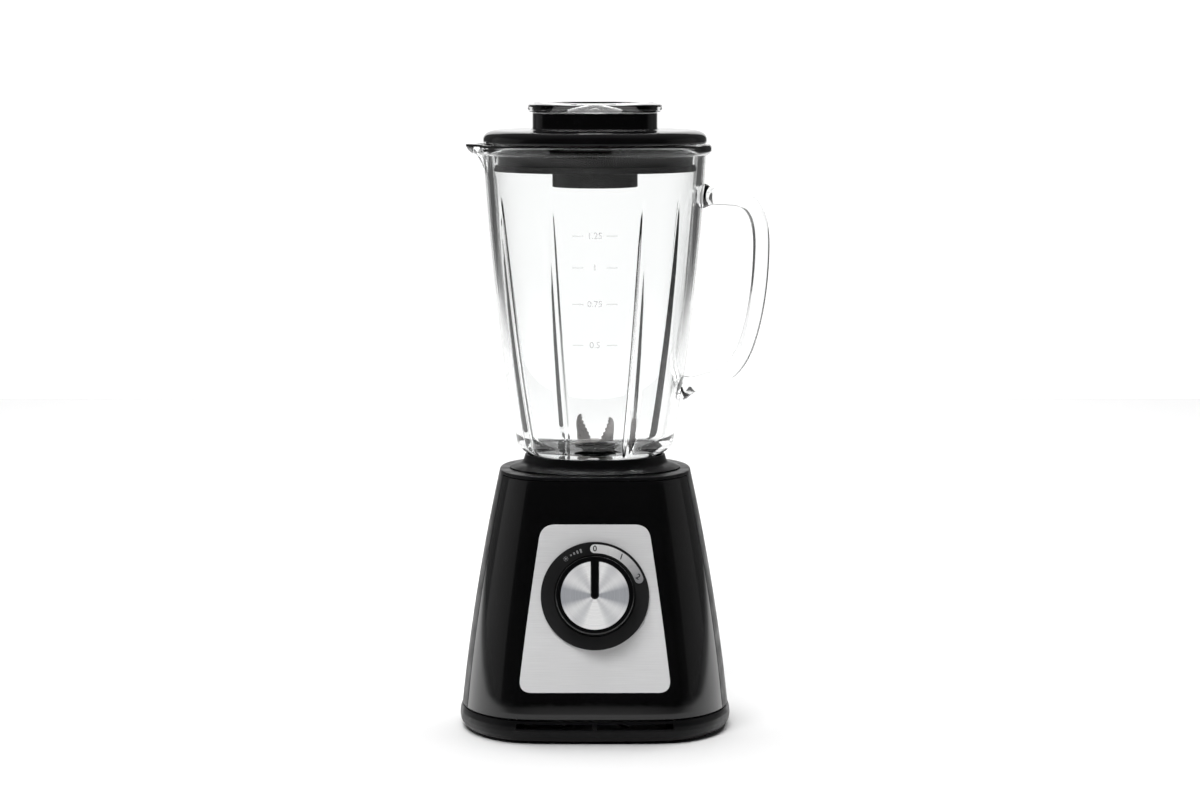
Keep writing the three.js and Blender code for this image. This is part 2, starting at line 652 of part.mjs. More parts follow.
// The bar across the top of the motor: it holds the upper bearing and hangs on the four dampers.
function upperBracket() {
  const [z0, z1] = [UPPER_BRACKET_Z, UPPER_BRACKET_Z + BRACKET_THICKNESS];
  const [halfX, halfY] = [50, 32];
  const bar = block([-halfX, -halfY, z0], [halfX, halfY, z1]);
  const pocket = rod(BEARING.outer + GAP, z0 - BEARING.height - 1, z1 - 1.5, 16);
  let bracket = joined(bar, rod(BEARING_CUP_RADIUS, z0 - BEARING.height, z1, 16));
  bracket = cut(bracket, pocket, rod(SHAFT_OPENING_RADIUS, z0 - 10, z1 + 1, 16));
  for (const [x, y] of MOTOR_MOUNTS) {
    bracket = cut(bracket, rod(MOUNT_BOLT_HOLE, z0 - 1, z1 + 1, 8, x, y));
  }
  return joined(bracket, ...bracketLegs(38, 9, STACK.z1 + GAP, z1 - 1));
}

function lowerBracket() {
  const [z0, z1] = [LOWER_BRACKET_Z, LOWER_BRACKET_Z + BRACKET_THICKNESS];
  const [halfX, halfY] = [41, 24];
  const bar = block([-halfX, -halfY, z0], [halfX, halfY, z1]);
  const pocket = rod(BEARING.outer + GAP, z0 + 1.5, z1 + BEARING.height + 1, 16);
  let bracket = joined(bar, rod(BEARING_CUP_RADIUS, z0, z1 + BEARING.height, 16));
  bracket = cut(bracket, pocket, rod(SHAFT_OPENING_RADIUS, z0 - 1, z1 + 10, 16));
  return joined(bracket, ...bracketLegs(36, 8, z0 + 1, STACK.z0 - GAP));
}

function bearing(z) {
  return ring(BEARING.inner, BEARING.outer, z, z + BEARING.height);
}

// The two strips, left and right, that hold a bracket off the stator.
function bracketLegs(innerX, halfWidth, z0, z1) {
  return [-1, 1].map((side) => {
    const [x0, x1] = [side * innerX, side * (innerX + BRACKET_THICKNESS)].sort((a, b) => a - b);
    return block([x0, -halfWidth, z0], [x1, halfWidth, z1]);
  });
}

function motorDamper(x, y) {
  const [z0, z1] = [UPPER_BRACKET_Z + BRACKET_THICKNESS + GAP, MOUNT_POST_Z - GAP];
  return solid(geometryOf(ring(MOUNT_BOLT_HOLE, 6, z0, z1, 10)).translate(x, y, 0));
}

function armatureCore() {
  const slots = 12;
  const pitch = (2 * Math.PI) / slots;
  const [outer, root] = [STACK.bore - 0.6, 14];
  const tooth = 0.38;
  const corners = [[outer, -tooth], [outer, 0], [outer, tooth], [root, tooth], [root, 1 - tooth]];
  const shape = new THREE.Shape();
  shape.setFromPoints(Array.from({ length: slots }, (_, k) => corners.map(([radius, part]) => {
    const angle = (k + part) * pitch;
    return new THREE.Vector2(radius * Math.cos(angle), radius * Math.sin(angle));
  })).flat());
  return cut(prism(shape, STACK.z0, STACK.z1), rod(MOTOR_SHAFT_RADIUS + GAP, 0, 200, 16));
}

function armatureWinding(z0, z1) {
  const bore = MOTOR_SHAFT_RADIUS + GAP;
  const [end, widest] = [14, 16];
  const bulge = (z1 - z0) * 0.3;
  return turned([[bore, z0], [end, z0], [widest, z0 + bulge], [widest, z1 - bulge], [end, z1],
    [bore, z1]], 16);
}

const COMMUTATOR = { radius: 10, z0: 50, z1: 61 };
const BRUSH = { z0: 52, z1: 59, halfWidth: 3, back: 24 };

function commutator() {
  const bars = 8;
  const { radius, z0, z1 } = COMMUTATOR;
  const drum = ring(MOTOR_SHAFT_RADIUS + GAP, radius, z0, z1, 16);
  const gaps = circleOf(bars, (angle) => {
    const slit = new THREE.BoxGeometry(2, 0.6, 20).translate(radius, 0, (z0 + z1) / 2);
    return solid(slit.rotateZ(angle));
  });
  return cut(drum, ...gaps);
}

function carbonBrush(side) {
  const { z0, z1, halfWidth, back } = BRUSH;
  const [y0, y1] = [side * (COMMUTATOR.radius + GAP), side * back].sort((a, b) => a - b);
  return block([-halfWidth, y0, z0], [halfWidth, y1, z1]);
}

// A brass box open at both ends that guides one brush.
function brushHolder(side) {
  const { z0, z1, halfWidth } = BRUSH;
  const wall = 1.6;
  const [y0, y1] = [side * 12.5, side * 28].sort((a, b) => a - b);
  const outside = block([-halfWidth - wall, y0, z0 - wall], [halfWidth + wall, y1, z1 + wall]);
  return cut(outside, block([-halfWidth - GAP, -40, z0 - GAP], [halfWidth + GAP, 40, z1 + GAP]));
}

function coolingFan() {
  const vanes = 7;
  const [z0, z1] = [22, 34];
  const bore = MOTOR_SHAFT_RADIUS + GAP;
  const [hub, tip, plate] = [7.5, 34, 2];
  const disc = turned([[bore, z0], [hub, z0], [hub, z1 - plate], [tip, z1 - plate], [tip, z1],
    [bore, z1]], 20);
  const vaneLength = 22;
  const vaneSlant = 0.5;
  const blades = circleOf(vanes, (angle) => {
    const vane = new THREE.BoxGeometry(vaneLength, 1.6, z1 - z0 - 1).rotateZ(vaneSlant);
    return solid(vane.translate(hub + 13.5, 0, (z0 + z1 - 1) / 2).rotateZ(angle));
  });
  return joined(disc, ...blades);
}

const MOTOR_SHAFT = { z0: 21, z1: 149.5 };
const DRIVE_COUPLING = { z0: 145, z1: 153.7, radius: 9.5 };
const LOBE_DEPTH = 2.4;

function motorShaft() {
  const { z0, z1 } = MOTOR_SHAFT;
  const r = MOTOR_SHAFT_RADIUS;
  const bevel = 0.6;
  return turned([[0, z0], [r - bevel, z0], [r, z0 + bevel], [r, z1 - bevel], [r - bevel, z1], [0, z1]], 16);
}

// The lobed outline that the two halves of the coupling share.
function lobedShape(radius, depth, lobes = 6) {
  const shape = new THREE.Shape();
  const points = circleOf(lobes * 6, (angle) => {
    const reach = radius - (depth * (1 - Math.cos(lobes * angle))) / 2;
    return new THREE.Vector2(reach * Math.cos(angle), reach * Math.sin(angle));
  });
  shape.setFromPoints(points);
  return shape;
}

function driveCoupling() {
  const { z0, z1, radius } = DRIVE_COUPLING;
  const socket = rod(MOTOR_SHAFT_RADIUS + GAP, z0 - 1, MOTOR_SHAFT.z1 + GAP, 16);
  return cut(prism(lobedShape(radius, LOBE_DEPTH), z0, z1), socket);
}

piece('stator_core', statorCore(), IRON);
piece('field_coil_left', fieldCoil(-1), COPPER);
piece('field_coil_right', fieldCoil(1), COPPER);
piece('upper_bracket', upperBracket(), STEEL);
piece('lower_bracket', lowerBracket(), STEEL);
piece('upper_bearing', bearing(UPPER_BRACKET_Z - 4.8), BRASS);
piece('lower_bearing', bearing(LOWER_BRACKET_Z + 1.8), BRASS);
MOTOR_MOUNTS.forEach(([x, y], i) => {
  piece(`motor_damper_${i + 1}`, motorDamper(x, y), RUBBER);
  piece(`motor_screw_${i + 1}`, screw(x, y, UPPER_BRACKET_Z - SCREW_HEAD.height - 0.4, 24), STEEL);
});
piece('brush_holder_front', brushHolder(-1), BRASS);
piece('brush_holder_rear', brushHolder(1), BRASS);
piece('carbon_brush_front', carbonBrush(-1), CARBON);
piece('carbon_brush_rear', carbonBrush(1), CARBON);
piece('motor_shaft', motorShaft(), STEEL);
piece('armature_core', armatureCore(), IRON);
piece('armature_winding_top', armatureWinding(STACK.z1 + GAP, 121), COPPER);
piece('armature_winding_bottom', armatureWinding(62, STACK.z0 - GAP), COPPER);
piece('commutator', commutator(), COPPER);
piece('cooling_fan', coolingFan(), NYLON);
piece('drive_coupling', driveCoupling(), NYLON);

// ---------------------------------------------------------------- glass jar

const JAR_WALL_BOTTOM_Z = 182;
const JAR_WALL_TOP_Z = 366;
const JAR_BELLY_RADIUS = 65.3;
const RIB_BOTTOM_Z = 178;
const RIB_TOP_Z = 337;
const FIRST_RIB = THREE.MathUtils.degToRad(28);
const BOWL_TOP_Z = 188;
const JAR_FLOOR_HOLE = 9.3;
const JAR_SEGMENTS = 32;

// The jar's outer radius at a height, a curve that opens towards the rim.
function jarRadius(z) {
  const belly = new THREE.QuadraticBezierCurve(
    new THREE.Vector2(JAR_BOTTOM_RADIUS, JAR_WALL_BOTTOM_Z),
    new THREE.Vector2(JAR_BELLY_RADIUS, 264),
    new THREE.Vector2(JAR_TOP_RADIUS, JAR_WALL_TOP_Z),
  );
  let [low, high] = [0, 1];
  for (let step = 0; step < 30; step += 1) {
    const middle = (low + high) / 2;
    if (belly.getPoint(middle).y < z) low = middle;
    else high = middle;
  }
  return belly.getPoint(low).x;
}

function jarVessel() {
  const levels = 5;
  const climb = (z0, z1, inset) => Array.from({ length: levels + 1 }, (_, k) => {
    const z = z0 + ((z1 - z0) * k) / levels;
    return new THREE.Vector2(jarRadius(z) - inset, z);
  });
  const footRadius = 37.5;
  const foot = new THREE.Path();
  foot.moveTo(JAR_FLOOR_HOLE, JAR_FOOT_Z + 1.5);
  foot.lineTo(footRadius - 10.5, JAR_FOOT_Z + 1.5);
  foot.lineTo(footRadius - 8.5, JAR_FOOT_Z);
  foot.lineTo(footRadius - 2, JAR_FOOT_Z);
  foot.lineTo(footRadius, JAR_FOOT_Z + 2);
  foot.lineTo(footRadius + 0.5, JAR_FLOOR_Z + 0.4);
  foot.quadraticCurveTo(JAR_BOTTOM_RADIUS - 1.4, JAR_FLOOR_Z + 4.4, JAR_BOTTOM_RADIUS, JAR_WALL_BOTTOM_Z);
  const bead = JAR_RIM_Z - 3.4;
  const rim = new THREE.Path();
  rim.moveTo(JAR_TOP_RADIUS + 0.4, JAR_WALL_TOP_Z + 0.6);
  rim.quadraticCurveTo(JAR_RIM_RADIUS, JAR_WALL_TOP_Z + 0.8, JAR_RIM_RADIUS, bead);
  rim.quadraticCurveTo(JAR_RIM_RADIUS, JAR_RIM_Z, JAR_RIM_RADIUS - 2.4, JAR_RIM_Z);
  rim.lineTo(JAR_RIM_RADIUS - JAR_WALL - 0.1, JAR_RIM_Z);
  rim.lineTo(JAR_RIM_RADIUS - JAR_WALL - 2.1, JAR_RIM_Z - 1.8);
  const bowl = new THREE.Path();
  bowl.moveTo(jarRadius(BOWL_TOP_Z) - JAR_WALL, BOWL_TOP_Z);
  bowl.quadraticCurveTo(42.6, JAR_FLOOR_Z + 4.2, 32, JAR_FLOOR_Z + 2);
  bowl.quadraticCurveTo(20, JAR_FLOOR_Z, JAR_FLOOR_HOLE, JAR_FLOOR_Z);
  return turned([
    ...foot.getPoints(3),
    ...climb(JAR_WALL_BOTTOM_Z, JAR_WALL_TOP_Z, 0).slice(1),
    ...rim.getPoints(2),
    ...climb(JAR_WALL_TOP_Z, BOWL_TOP_Z, JAR_WALL).slice(0, -1),
    ...bowl.getPoints(3),
  ], JAR_SEGMENTS);
}

// A rib down the inside of the jar: it tapers to a point at its top and runs into the floor.
function jarRib(angle) {
  const levels = 5;
  const [height, halfWidth, root] = [4.6, 4.4, 1.5];
  const rings = Array.from({ length: levels + 1 }, (_, k) => {
    const rise = k / levels;
    const z = RIB_BOTTOM_Z + (RIB_TOP_Z - RIB_BOTTOM_Z) * rise;
    const inner = jarRadius(Math.max(z, BOWL_TOP_Z - 2)) - JAR_WALL;
    const taper = Math.sqrt(1 - rise) + 0.02;
    const [tall, half] = [height * taper, halfWidth * taper];
    const corners = [[root, -half], [root, half], [-tall * 0.7, half * 0.45], [-tall, 0],
      [-tall * 0.7, -half * 0.45]];
    return corners.map(([out, side]) => new THREE.Vector3(side, -(inner + out), z));
  });
  return solid(geometryOf(loft(rings)).rotateZ(angle));
}

// The pouring lip, grown out of the rim as half an oval cone.
function spoutCone(inset, top) {
  const levels = [[357.5, 70.6, 5], [363, 73.6, 9], [368.5, 78.8, 12.5], [372.4, 81.7, 14.6]];
  if (top > JAR_RIM_Z) levels.push([top, 84, 16]);
  const middleX = -60;
  return loft(levels.map(([z, tip, half]) => circleOf(16, (angle) => {
    const reach = tip - inset + middleX;
    const x = middleX - reach * Math.cos(angle);
    return new THREE.Vector3(x, (half - inset) * Math.sin(angle), z + inset);
  })));
}

const HANDLE_HALF_WIDTH = 8.6;
const HANDLE_HALF_DEPTH = 5.4;

function jarHandle() {
  const path = new THREE.CurvePath();
  const at = (x, z) => new THREE.Vector3(x, 0, z);
  path.add(new THREE.LineCurve3(at(67, 340), at(88, 339)));
  path.add(new THREE.CubicBezierCurve3(at(88, 339), at(101, 338.4), at(106.4, 328), at(106.4, 308)));
  path.add(new THREE.QuadraticBezierCurve3(at(106.4, 308), at(106, 272), at(97.3, 246)));
  path.add(new THREE.QuadraticBezierCurve3(at(97.3, 246), at(91, 227.1), at(76, 222.8)));
  path.add(new THREE.LineCurve3(at(76, 222.8), at(55.5, 217)));
  const section = new THREE.Shape();
  section.absellipse(0, 0, HANDLE_HALF_WIDTH, HANDLE_HALF_DEPTH, 0, 2 * Math.PI, false, 0);
  const options = { steps: 24, curveSegments: 6, extrudePath: path, bevelEnabled: false };
  return solid(new THREE.ExtrudeGeometry(section, options));
}

function glassJar() {
  const heights = [BOWL_TOP_Z, 215, 245, 285, 325, JAR_WALL_TOP_Z];
  const wall = heights.map((z) => [jarRadius(z) - JAR_WALL, z]);
  const above = JAR_RIM_Z + 6.8;
  const hollow = turned([[0, BOWL_TOP_Z], ...wall, [66.9, above], [0, above]], JAR_SEGMENTS);
  const outside = joined(cut(joined(jarHandle(), spoutCone(0, JAR_RIM_Z)), hollow), jarVessel());
  const ribs = circleOf(4, (angle) => jarRib(angle + FIRST_RIB));
  const lipWall = 2.8;
  return cut(joined(outside, ...ribs), spoutCone(lipWall, JAR_RIM_Z + 6));
}

piece('glass_jar', glassJar(), GLASS);

// ---------------------------------------------------------------- blade unit

const HOUSING_RADIUS = 8.9;
const HOUSING_BOTTOM = 161;
const COLLAR_RADIUS = 13.4;
const BUSH_RADIUS = 4.6;
const DRIVEN_COUPLING = { z0: 146, z1: 160.4, radius: 14.5, shaftFloor: 155.5 };

function bladeHousing() {
  const bore = BUSH_RADIUS + GAP;
  const collarTop = JAR_FLOOR_Z + 2.2;
  const top = BLADE_HUB_Z - GAP;
  return turned([[bore, HOUSING_BOTTOM], [HOUSING_RADIUS, HOUSING_BOTTOM],
    [HOUSING_RADIUS, JAR_FLOOR_Z + GAP], [COLLAR_RADIUS, JAR_FLOOR_Z + GAP], [COLLAR_RADIUS, collarTop],
    [HOUSING_RADIUS, collarTop + 1.6], [HOUSING_RADIUS - 1.8, top], [bore, top]], 20);
}

function bladeBush() {
  return ring(BLADE_SHAFT_RADIUS + GAP, BUSH_RADIUS, HOUSING_BOTTOM + 1, BLADE_HUB_Z - 1, 20);
}

function bladeNut() {
  const [z0, z1] = [HOUSING_BOTTOM - 0.1, JAR_FOOT_Z - 0.5];
  const acrossCorners = 13.8;
  return cut(rod(acrossCorners, z0, z1, 6), rod(HOUSING_RADIUS + GAP, z0 - 1, z1 + 1, 28));
}

function bladeGasket() {
  return ring(HOUSING_RADIUS + GAP, 16, JAR_FOOT_Z - 0.2, JAR_FOOT_Z + 1.2, 20);
}

// One bent arm of a blade, in its own plane: x along the arm, y across it.
function armShape(length, halfWidth, teeth) {
  const tip = length * 0.93;
  const run = (tip - 2) / teeth;
  const toothDepth = 0.9;
  const shape = new THREE.Shape();
  shape.moveTo(0, -halfWidth);
  shape.quadraticCurveTo(length * 0.75, -halfWidth * 1.02, length, halfWidth * 0.25);
  shape.lineTo(tip, halfWidth * 0.5);
  for (let k = 1; k <= teeth; k += 1) {
    const x = tip - run * k;
    const y = halfWidth * (0.5 + (0.5 * k) / teeth);
    shape.lineTo(x + run * 0.25, y - toothDepth);
    shape.lineTo(x, y);
  }
  shape.lineTo(0, halfWidth);
  return shape;
}

// A stamped blade: a flat hub and two arms bent to the same angle.
function blade(hubZ, { length, halfWidth, bend, teeth, turn }) {
  const hubRadius = 7.4;
  const armStart = 6;
  const hub = ring(BLADE_SHAFT_RADIUS + GAP, hubRadius, hubZ, hubZ + BLADE_THICKNESS, 24);
  const arms = [0, Math.PI].map((half) => {
    const arm = geometryOf(prism(armShape(length, halfWidth, teeth), 0, BLADE_THICKNESS, 5));
    return solid(arm.rotateY(-bend).translate(armStart, 0, hubZ).rotateZ(turn + half));
  });
  const shaftHole = rod(BLADE_SHAFT_RADIUS + GAP, hubZ - 5, hubZ + 5, 24);
  return cut(joined(hub, ...arms), shaftHole);
}

const UPPER_BLADE = { length: 19.4, halfWidth: 5.4, bend: 1.13, teeth: 6, turn: 2.16 };
const LOWER_BLADE = { length: 17, halfWidth: 5, bend: -0.14, teeth: 4, turn: 0.6 };

function bladeCap() {
  const z0 = BLADE_HUB_Z + 2 * (BLADE_THICKNESS + GAP);
  const [flange, crown] = [4.6, 3];
  return turned([[0, z0], [flange, z0], [flange, z0 + 0.7], [crown, z0 + 1.6], [0, z0 + 1.9]], 20);
}

function bladeShaft() {
  const top = BLADE_HUB_Z + 2 * BLADE_THICKNESS + GAP;
  return rod(BLADE_SHAFT_RADIUS, DRIVEN_COUPLING.shaftFloor + GAP, top, 16);
}

function drivenCoupling() {
  const { z0, z1, radius, shaftFloor } = DRIVEN_COUPLING;
  const socketTop = DRIVE_COUPLING.z1 + 0.5;
  const body = turned([[0, z0], [radius, z0], [radius, z1 - 3], [radius - 3.5, z1], [0, z1]], 28);
  const socket = prism(lobedShape(DRIVE_COUPLING.radius + 0.6, LOBE_DEPTH), z0 - 1, socketTop);
  return cut(body, socket, rod(BLADE_SHAFT_RADIUS + GAP, shaftFloor, z1 + 1, 16));
}

piece('blade_housing', bladeHousing(), MATTE_BLACK);
piece('blade_gasket', bladeGasket(), RUBBER);
piece('blade_nut', bladeNut(), NYLON);
piece('blade_bush', bladeBush(), BRASS);
piece('blade_shaft', bladeShaft(), STEEL);
piece('lower_blade', blade(BLADE_HUB_Z, LOWER_BLADE), STEEL);
piece('upper_blade', blade(BLADE_HUB_Z + BLADE_THICKNESS + GAP, UPPER_BLADE), STEEL);
piece('blade_cap', bladeCap(), STEEL);
piece('driven_coupling', drivenCoupling(), NYLON);

// ---------------------------------------------------------------- lid and measuring cap

const TUBE_RADIUS = 27.4;
const TUBE_BOTTOM_Z = 346;
const LID_REST_Z = JAR_RIM_Z + GAP;
const SEAL_Z = 356.5;
const SKIRT_RADIUS = 62.4;

function lidBody() {
  const wall = 2;
  const underside = LID_REST_Z + 1.5;
  const dome = LID_REST_Z + 8.5;
  const mouth = CHIMNEY_HALF_WIDTH - 4;
  const path = new THREE.Path();
  path.moveTo(TUBE_RADIUS - wall, TUBE_BOTTOM_Z);
  path.lineTo(TUBE_RADIUS, TUBE_BOTTOM_Z);
  path.lineTo(TUBE_RADIUS, underside);
  path.lineTo(SKIRT_RADIUS - wall, underside);
  path.lineTo(SKIRT_RADIUS - wall, SEAL_Z);
  path.lineTo(SKIRT_RADIUS, SEAL_Z);
  path.lineTo(SKIRT_RADIUS, SEAL_Z + 4);
  path.quadraticCurveTo(SKIRT_RADIUS + 0.2, SEAL_Z + 11.5, SKIRT_RADIUS + 2.4, LID_REST_Z - 1);
  path.lineTo(SKIRT_RADIUS + 4, LID_REST_Z);
  path.lineTo(LID_RADIUS - 1.2, LID_REST_Z);
  path.quadraticCurveTo(LID_RADIUS, LID_REST_Z + 0.6, LID_RADIUS, LID_REST_Z + 2);
  path.quadraticCurveTo(LID_RADIUS, dome - 0.8, LID_RADIUS - 8.6, dome);
  path.lineTo(mouth + 3, dome + 1);
  path.lineTo(mouth, dome - 2.5);
  path.lineTo(TUBE_RADIUS - wall, dome - 3);
  return turned(path.getPoints(2), JAR_SEGMENTS);
}

// The square chimney on the lid, with rounded corners.
function chimney() {
  const power = 4.2;
  const wall = 2.4;
  const loftOf = (halfWidth, z0, z1) => loft([
    squircleRing(halfWidth, z0, power, 28),
    squircleRing(halfWidth, z1, power, 28),
  ]);
  return cut(loftOf(CHIMNEY_HALF_WIDTH, 380, CHIMNEY_TOP_Z), loftOf(CHIMNEY_HALF_WIDTH - wall, 375, 400));
}

// A ramp sunk into the lid's skirt. It deepens round the skirt and ends at an upright stop.
function skirtRamp(stopAngle) {
  const sweep = THREE.MathUtils.degToRad(54);
  const steps = 8;
  const [innerRadius, outerRadius] = [SKIRT_RADIUS - 0.8, SKIRT_RADIUS + 5.6];
  const top = LID_REST_Z - 0.4;
  const depth = 12;
  const rings = Array.from({ length: steps + 1 }, (_, k) => {
    const angle = stopAngle - sweep * (1 - k / steps);
    const low = top - 0.8 - depth * (k / steps) ** 1.3;
    const spot = (r, z) => new THREE.Vector3(r * Math.sin(angle), -r * Math.cos(angle), z);
    return [spot(innerRadius, low), spot(outerRadius, low), spot(outerRadius, top), spot(innerRadius, top)];
  });
  return loft(rings);
}

function lid() {
  const stop = THREE.MathUtils.degToRad(9);
  return cut(joined(lidBody(), chimney()), skirtRamp(stop), skirtRamp(stop + Math.PI));
}

// The soft ring round the foot of the lid's skirt, which wipes the jar's inner wall.
function lidSeal() {
  const [z0, z1] = [SEAL_Z, SEAL_Z + 3.6];
  const inner = SKIRT_RADIUS + GAP;
  return turned([[inner, z0], [inner + 2, z0], [inner + 2, z0 + 1], [inner + 0.9, z1],
    [inner, z1]], JAR_SEGMENTS);
}

// A clear cup that hangs in the chimney by its wide flange.
function measuringCap() {
  const power = 3.6;
  const rise = [[-1.6, CHIMNEY_TOP_Z + GAP], [-0.4, CHIMNEY_TOP_Z + 1], [0, CHIMNEY_TOP_Z + 3],
    [-0.6, CAP_TOP_Z - 0.6], [-2, CAP_TOP_Z]];
  const flange = loft(rise.map(([out, z]) => squircleRing(CAP_HALF_WIDTH + out, z, power, 28)));
  const [bottom, floor, neck] = [350, 352.4, 380];
  const [radius, wall] = [24.6, 2];
  const shoulder = 33;
  const cup = turned([[0, bottom], [radius - 2.2, bottom], [radius - 0.8, bottom + 1.4], [radius, neck],
    [shoulder, neck + 11], [shoulder, neck + 15], [0, neck + 15]], 24);
  const hollow = turned([[0, floor], [radius - 3.4, floor], [radius - 2.6, floor + 1],
    [radius - wall, neck + 1], [shoulder - wall, neck + 12.5], [36.5, CAP_TOP_Z - 2],
    [38.4, CAP_TOP_Z + 1], [0, CAP_TOP_Z + 1]], 24);
  return cut(joined(flange, cup), hollow);
}

piece('lid', lid(), GLOSS_BLACK);
piece('lid_seal', lidSeal(), RUBBER);
piece('measuring_cap', measuringCap(), CLEAR_PLASTIC);

export default blender;
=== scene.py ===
import json
from math import ceil, copysign, cos, exp, log1p, pi, radians, sin, sqrt, tan

import bmesh
import bpy
from mathutils import Matrix, Vector


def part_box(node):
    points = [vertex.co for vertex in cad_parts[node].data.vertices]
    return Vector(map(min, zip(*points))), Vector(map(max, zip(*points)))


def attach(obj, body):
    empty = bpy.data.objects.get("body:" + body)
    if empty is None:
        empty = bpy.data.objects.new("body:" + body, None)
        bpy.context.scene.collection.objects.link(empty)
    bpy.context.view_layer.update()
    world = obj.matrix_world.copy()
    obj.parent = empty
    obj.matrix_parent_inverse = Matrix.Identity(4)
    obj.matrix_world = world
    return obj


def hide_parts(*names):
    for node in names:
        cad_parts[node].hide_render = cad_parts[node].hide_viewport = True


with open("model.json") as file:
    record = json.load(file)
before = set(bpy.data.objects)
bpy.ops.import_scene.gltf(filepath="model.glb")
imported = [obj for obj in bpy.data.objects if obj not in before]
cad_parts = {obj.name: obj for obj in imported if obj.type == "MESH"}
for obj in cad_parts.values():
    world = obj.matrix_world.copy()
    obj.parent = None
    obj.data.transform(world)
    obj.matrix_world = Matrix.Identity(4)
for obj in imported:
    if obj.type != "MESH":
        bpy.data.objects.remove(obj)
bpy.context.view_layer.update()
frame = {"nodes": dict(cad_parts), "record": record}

# Countertop blender: the detailed model that stands over the CAD frame. The object's sizes are in
# millimetres and turn into metres when a mesh is made; the studio's are in metres. The origin is on
# the drive axis at the worktop; the front faces -Y, the handle +X and the spout -X.

MM = 0.001

RECORD = frame["record"]
BODY_OF = {node: body for body, nodes in RECORD["behaviour"]["bodies"].items() for node in nodes}
SLOT_OF = {part["node"]: part["material_slot"] for part in RECORD["subparts"]}

# Base.
GAP = 0.3
UNDERSIDE_Z = 2.0
TRAY_TOP_Z = 14.5
TRAY_FLOOR_Z = 4.5
TRAY_HALF_WIDTH = 86.8
TRAY_DEPTH_RATIO = 1.017
HOUSING_BOTTOM_Z = 15.0
DECK_TOP_Z = 165.6
DECK_THICKNESS = 2.0
HOUSING_LEVEL_Z = 13.4
HOUSING_HALF_WIDTHS = (85.5, 77.7, 60.9)
SHELL_THICKNESS = 2.6
SECTION_POWER = 2.3
SECTION_BULGE = 1.14
SECTION_BLEND = 16
SPLIT_BOTTOM_Y = -38.0
SPLIT_TOP_Y = -27.0
SPLIT_GAP = 0.4
STRIP_TOP_Z = 26.0
STRIP_SOFTNESS = 0.8
STRIP_UPRIGHT = 0.38
DECK_HOLE_RADIUS = 44.0
FOOT_PLACE = (62, 50)
SCREW_PLACE = (50, 64)
POST_PLACE = (44, 26)
VENTS = 6
VENT_PITCH = 7
INTAKES = 8

# Dial.
DIAL_Z = 92.5
FACE_LEAN = radians(9.3)
PLATE_TOP = 44.9
PLATE_BOTTOM = -60.6
PLATE_HALF_TOP = 33.9
PLATE_HALF_BOTTOM = 48.2
PLATE_CORNER = 9.0
PLATE_FULLNESS = 0.8
RECESS_DEPTH = 1.2
RECESS_MARGIN = 4.0
BEZEL_RADIUS = 34.0
BEZEL_FACE = 2.2
KNOB_RADIUS = 24.6
KNOB_BASE = 2.5
KNOB_TOP = 18.5
DISC_RADIUS = 21.3
DISC_SINK = 1.2
POINTER_HALF_WIDTH = 2.35
SCALE_INNER = 26.9
SCALE_OUTER = 32.4
SCALE_FROM = -0.5
SCALE_TO = 69.0
SCALE_FADE = (20.0, 72.0)
DIGIT_RADIUS = 29.6
DIGIT_ANGLES = (0, 34, 66)
PULSE_ANGLE = -38.0
PIP_ANGLE = -30.5
PIP_PITCH = 4.4

# Jar.
SEAT_FLOOR_Z = 166.2
SEAT_RIM_Z = 174.6
JAR_FOOT_Z = 166.5
JAR_FLOOR_Z = 173.2
JAR_RIM_Z = 373.2
JAR_RIM_RADIUS = 74.8
JAR_WALL = 5.5
WALL_CURVE = ((50.0, 182.0), (65.3, 264.0), (71.5, 366.0))
RIB_TOP_Z = 337.0
RIB_FOOT_Z = 176.0
RIB_HEIGHT = 4.6
RIB_HALF_WIDTH = 4.4
FIRST_RIB = radians(28)
SPOUT_START_Z = 356.0
SPOUT_REACH = 9.0
HANDLE_HALF_DEPTH = 5.35
HANDLE_HALF_WIDTH = 8.6
MARK_HEIGHTS = (("1.25", 318.0), ("1", 298.0), ("0.75", 275.0), ("0.5", 249.0))

# Lid and cap.
LID_REST_Z = 373.5
TUBE_RADIUS = 27.4
TUBE_BOTTOM_Z = 346.0
SKIRT_BOTTOM_Z = 356.5
CHIMNEY_HALF_WIDTH = 40.0
CHIMNEY_WALL = 2.4
CHIMNEY_TOP_Z = 393.6
CHIMNEY_POWER = 4.2
CAP_HALF_WIDTH = 43.1
CAP_TOP_Z = 399.0
CAP_POWER = 3.6

# Blades.
BLADE_HUB_Z = 179.9
BLADE_THICKNESS = 1.2
BLADE_ROOT = 3.6
BEND_RUN = 3.5
TIP_SHARE = 0.3
TEETH_FROM = 0.36
TEETH_TO = 0.95
TOOTH_DEPTH = 1.25

# Studio, in metres.
FLOOR_PALE = (0.90, 0.90, 0.90)
FLOOR_GREY = (0.30, 0.30, 0.30)
FLOOR_BACK = 2.2
BACKDROP_Y = 3.2
CAMERA_PLACE = (0.0032, -2.7284, 0.4702)
CAMERA_DIP = 5.471
CAMERA_LENS = 128.08
LIGHT_BOUNCES = 16


# ---- small geometry helpers


def between(a, b, t):
    return a + (b - a) * t


def halving(high, times, is_low):
    """The number between 0 and a high one at which is_low stops being true."""
    low = 0.0
    for _ in range(times):
        middle = (low + high) / 2
        if is_low(middle):
            low = middle
        else:
            high = middle
    return low


def smooth_step(low, high, value):
    t = min(1.0, max(0.0, (value - low) / (high - low)))
    return t * t * (3 - 2 * t)


def on_quadratic(start, control, end, t):
    """A place on a quadratic curve, for numbers or vectors."""
    return start * (1 - t) ** 2 + control * (2 * t * (1 - t)) + end * t * t


